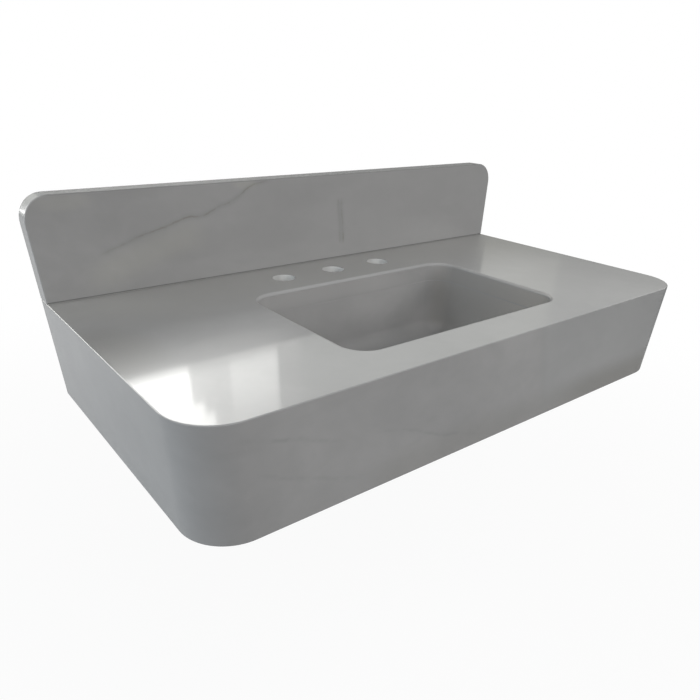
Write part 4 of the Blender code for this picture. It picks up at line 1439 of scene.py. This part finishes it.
# %% [markdown]
# Polished stone is lit as much by what it mirrors as by lamps, so rays that leave a
# glossy surface see a room: dark at the horizon, brightest some 25 degrees above it and
# greyer overhead, with one wall a little brighter than the other. Panes of light and one
# dark post stand behind the sink, where only reflections see them. Most of the panes are
# the parts of one tall window, the bright patch on the front left of the deck.


# %% Room
mirrored_room = (
    (0.00, (0.23, 0.23, 0.23)), (0.14, (0.23, 0.23, 0.23)), (0.20, (0.31, 0.31, 0.29)),
    (0.24, (0.92, 0.92, 0.90)), (0.31, (1.02, 1.03, 1.02)), (0.41, (1.46, 1.49, 1.48)),
    (0.60, (1.10, 1.11, 1.12)), (0.95, (0.52, 0.53, 0.54)),
)
room_strength = 0.79
left_wall, right_wall = (1.22, 1.22, 1.18, 1), (1.0, 1.0, 0.99, 1)
corner_turn, corner_blur = math.radians(32.5), 0.006


def make_room():
    """White for the camera, the mirrored room for glossy rays and no light from elsewhere."""
    world = bpy.data.worlds.new("studio")
    scene.world = world
    world.use_nodes = True
    tree = world.node_tree
    tree.nodes.clear()
    rays = node(tree, "ShaderNodeLightPath")
    camera_ray, glossy_ray = rays.output("Is Camera Ray"), rays.output("Is Glossy Ray")
    direction = node(tree, "ShaderNodeTexCoord")
    split = node(tree, "ShaderNodeSeparateXYZ", sockets={0: direction})
    # A ramp's colours stay under 1, so they are halved here and the strength is doubled.
    stops = [(place, [c / 2 for c in colour]) for place, colour in mirrored_room]
    room = node(tree, "ShaderNodeValToRGB", {"stops": stops}, {0: split.output("Z")})
    side = split.output("X") * math.sin(corner_turn) - split.output("Y") * math.cos(corner_turn)
    sockets = {0: side.rise(-corner_blur, corner_blur), 6: left_wall, 7: right_wall}
    wall = node(tree, "ShaderNodeMix", {"data_type": "RGBA"}, sockets, 2)
    settings = {"data_type": "RGBA", "blend_type": "MULTIPLY"}
    room = node(tree, "ShaderNodeMix", settings, {0: 1.0, 6: room, 7: wall}, 2)
    dark = node(tree, "ShaderNodeBackground", sockets={"Strength": 0.0})
    mirrored = node(tree, "ShaderNodeBackground", sockets={"Color": room, "Strength": 2 * room_strength})
    white = node(tree, "ShaderNodeBackground", sockets={"Color": (1, 1, 1, 1), "Strength": 1.0})
    clear_ray = (camera_ray + rays.output("Is Transmission Ray")).clamped()
    light = node(tree, "ShaderNodeMixShader", sockets={0: glossy_ray, 1: dark, 2: mirrored})
    light = node(tree, "ShaderNodeMixShader", sockets={0: clear_ray, 1: light, 2: white})
    node(tree, "ShaderNodeOutputWorld", sockets={"Surface": light})


make_room()
print("stops of the mirrored room:", len(mirrored_room))


# %% Windows
window_y, pane_thickness = 2.5, 0.01
daylight = (1.0, 1.0, 0.97, 1)
tall_window = (
    (0.10, 0.73, 1.385, 2.35, 8.0), (0.10, 0.73, 1.20, 1.385, 2.8), (0.73, 1.42, 1.20, 1.40, 1.7),
    (0.73, 1.03, 1.40, 1.64, 2.9), (0.73, 0.81, 1.64, 2.35, 8.0), (0.81, 1.03, 1.64, 1.74, 2.9),
    (0.81, 0.88, 1.74, 2.35, 8.0), (0.88, 1.03, 1.74, 2.35, 2.9), (1.03, 1.42, 1.40, 1.74, 3.9),
    (1.03, 1.42, 1.74, 2.35, 3.3), (1.47, 1.62, 1.20, 2.35, 1.5),
)
low_window, dark_post = (-2.50, -1.05, 0.25, 1.70, 5.0), (3.20, 3.56, 0.80, 1.32, 0.25)
window_panes = (*tall_window, low_window, dark_post)


def make_windows():
    """Panes that only reflections see: low x, high x, sill, head and strength of each."""
    for k, (low, high, sill, head, strength) in enumerate(window_panes):
        back = window_y + pane_thickness
        plan = [(low, window_y), (high, window_y), (high, back), (low, back)]
        pane = solid(f"window_pane_{k}", [[at_level(plan, sill), at_level(plan, head)]])
        light = bpy.data.materials.new(f"daylight_{k}")
        light.use_nodes = True
        tree = light.node_tree
        tree.nodes.clear()
        glow = node(tree, "ShaderNodeEmission", sockets={"Color": daylight, "Strength": strength})
        node(tree, "ShaderNodeOutputMaterial", sockets={"Surface": glow})
        pane.data.materials.append(light)
        pane.visible_camera = pane.visible_diffuse = pane.visible_shadow = False


make_windows()
print("window panes:", len(window_panes))


# %% Lamps
sink_middle = Vector((0.0, -0.25, 0.0))


def add_lamp(name, place, width, height, power, colour):
    """A soft rectangular lamp that points at the sink's middle."""
    lamp = bpy.data.lights.new(name, "AREA")
    lamp.shape, lamp.size, lamp.size_y = "RECTANGLE", width, height
    lamp.energy, lamp.color = power, colour
    held = bpy.data.objects.new(name, lamp)
    held.location = place
    held.rotation_mode = "QUATERNION"
    held.rotation_quaternion = (sink_middle - Vector(place)).to_track_quat("-Z", "Y")
    held.visible_glossy = False
    scene.collection.objects.link(held)


add_lamp("front_high", (0.0, -1.8, 2.4), 2.0, 1.6, 65, (1.0, 0.996, 0.990))
add_lamp("room_side", (1.3, -3.8, 1.65), 3.0, 1.7, 102, (1.0, 1.0, 0.998))
add_lamp("left_window", (-2.6, 0.12, 0.75), 1.6, 1.9, 69, (0.89, 0.95, 1.0))

# %% [markdown]
# ## The camera
#
# The photograph was taken from the left, a little above the backsplash, looking down.
# Its place and turn were solved from the straight edges of the deck, the apron and the
# backsplash in the picture. The picture is a crop from the upper part of a frame, so
# its centre of perspective lies below its middle, which is what the shift is for.

# %% Camera
lens, sensor, shift = 29.373, 36.0, 0.1857
camera_place = (-0.6174, -0.9271, 0.3254)
camera_turn = (55.294, -1.464, -37.762)
eye = bpy.data.cameras.new("camera")
eye.lens, eye.sensor_width, eye.shift_y = lens, sensor, shift
eye.clip_start, eye.clip_end = 0.01, 60.0
camera = bpy.data.objects.new("camera", eye)
camera.location = camera_place
camera.rotation_euler = [math.radians(angle) for angle in camera_turn]
scene.collection.objects.link(camera)
scene.camera = camera
scene.view_settings.view_transform = "Standard"
print("camera", camera_place, "lens", lens)
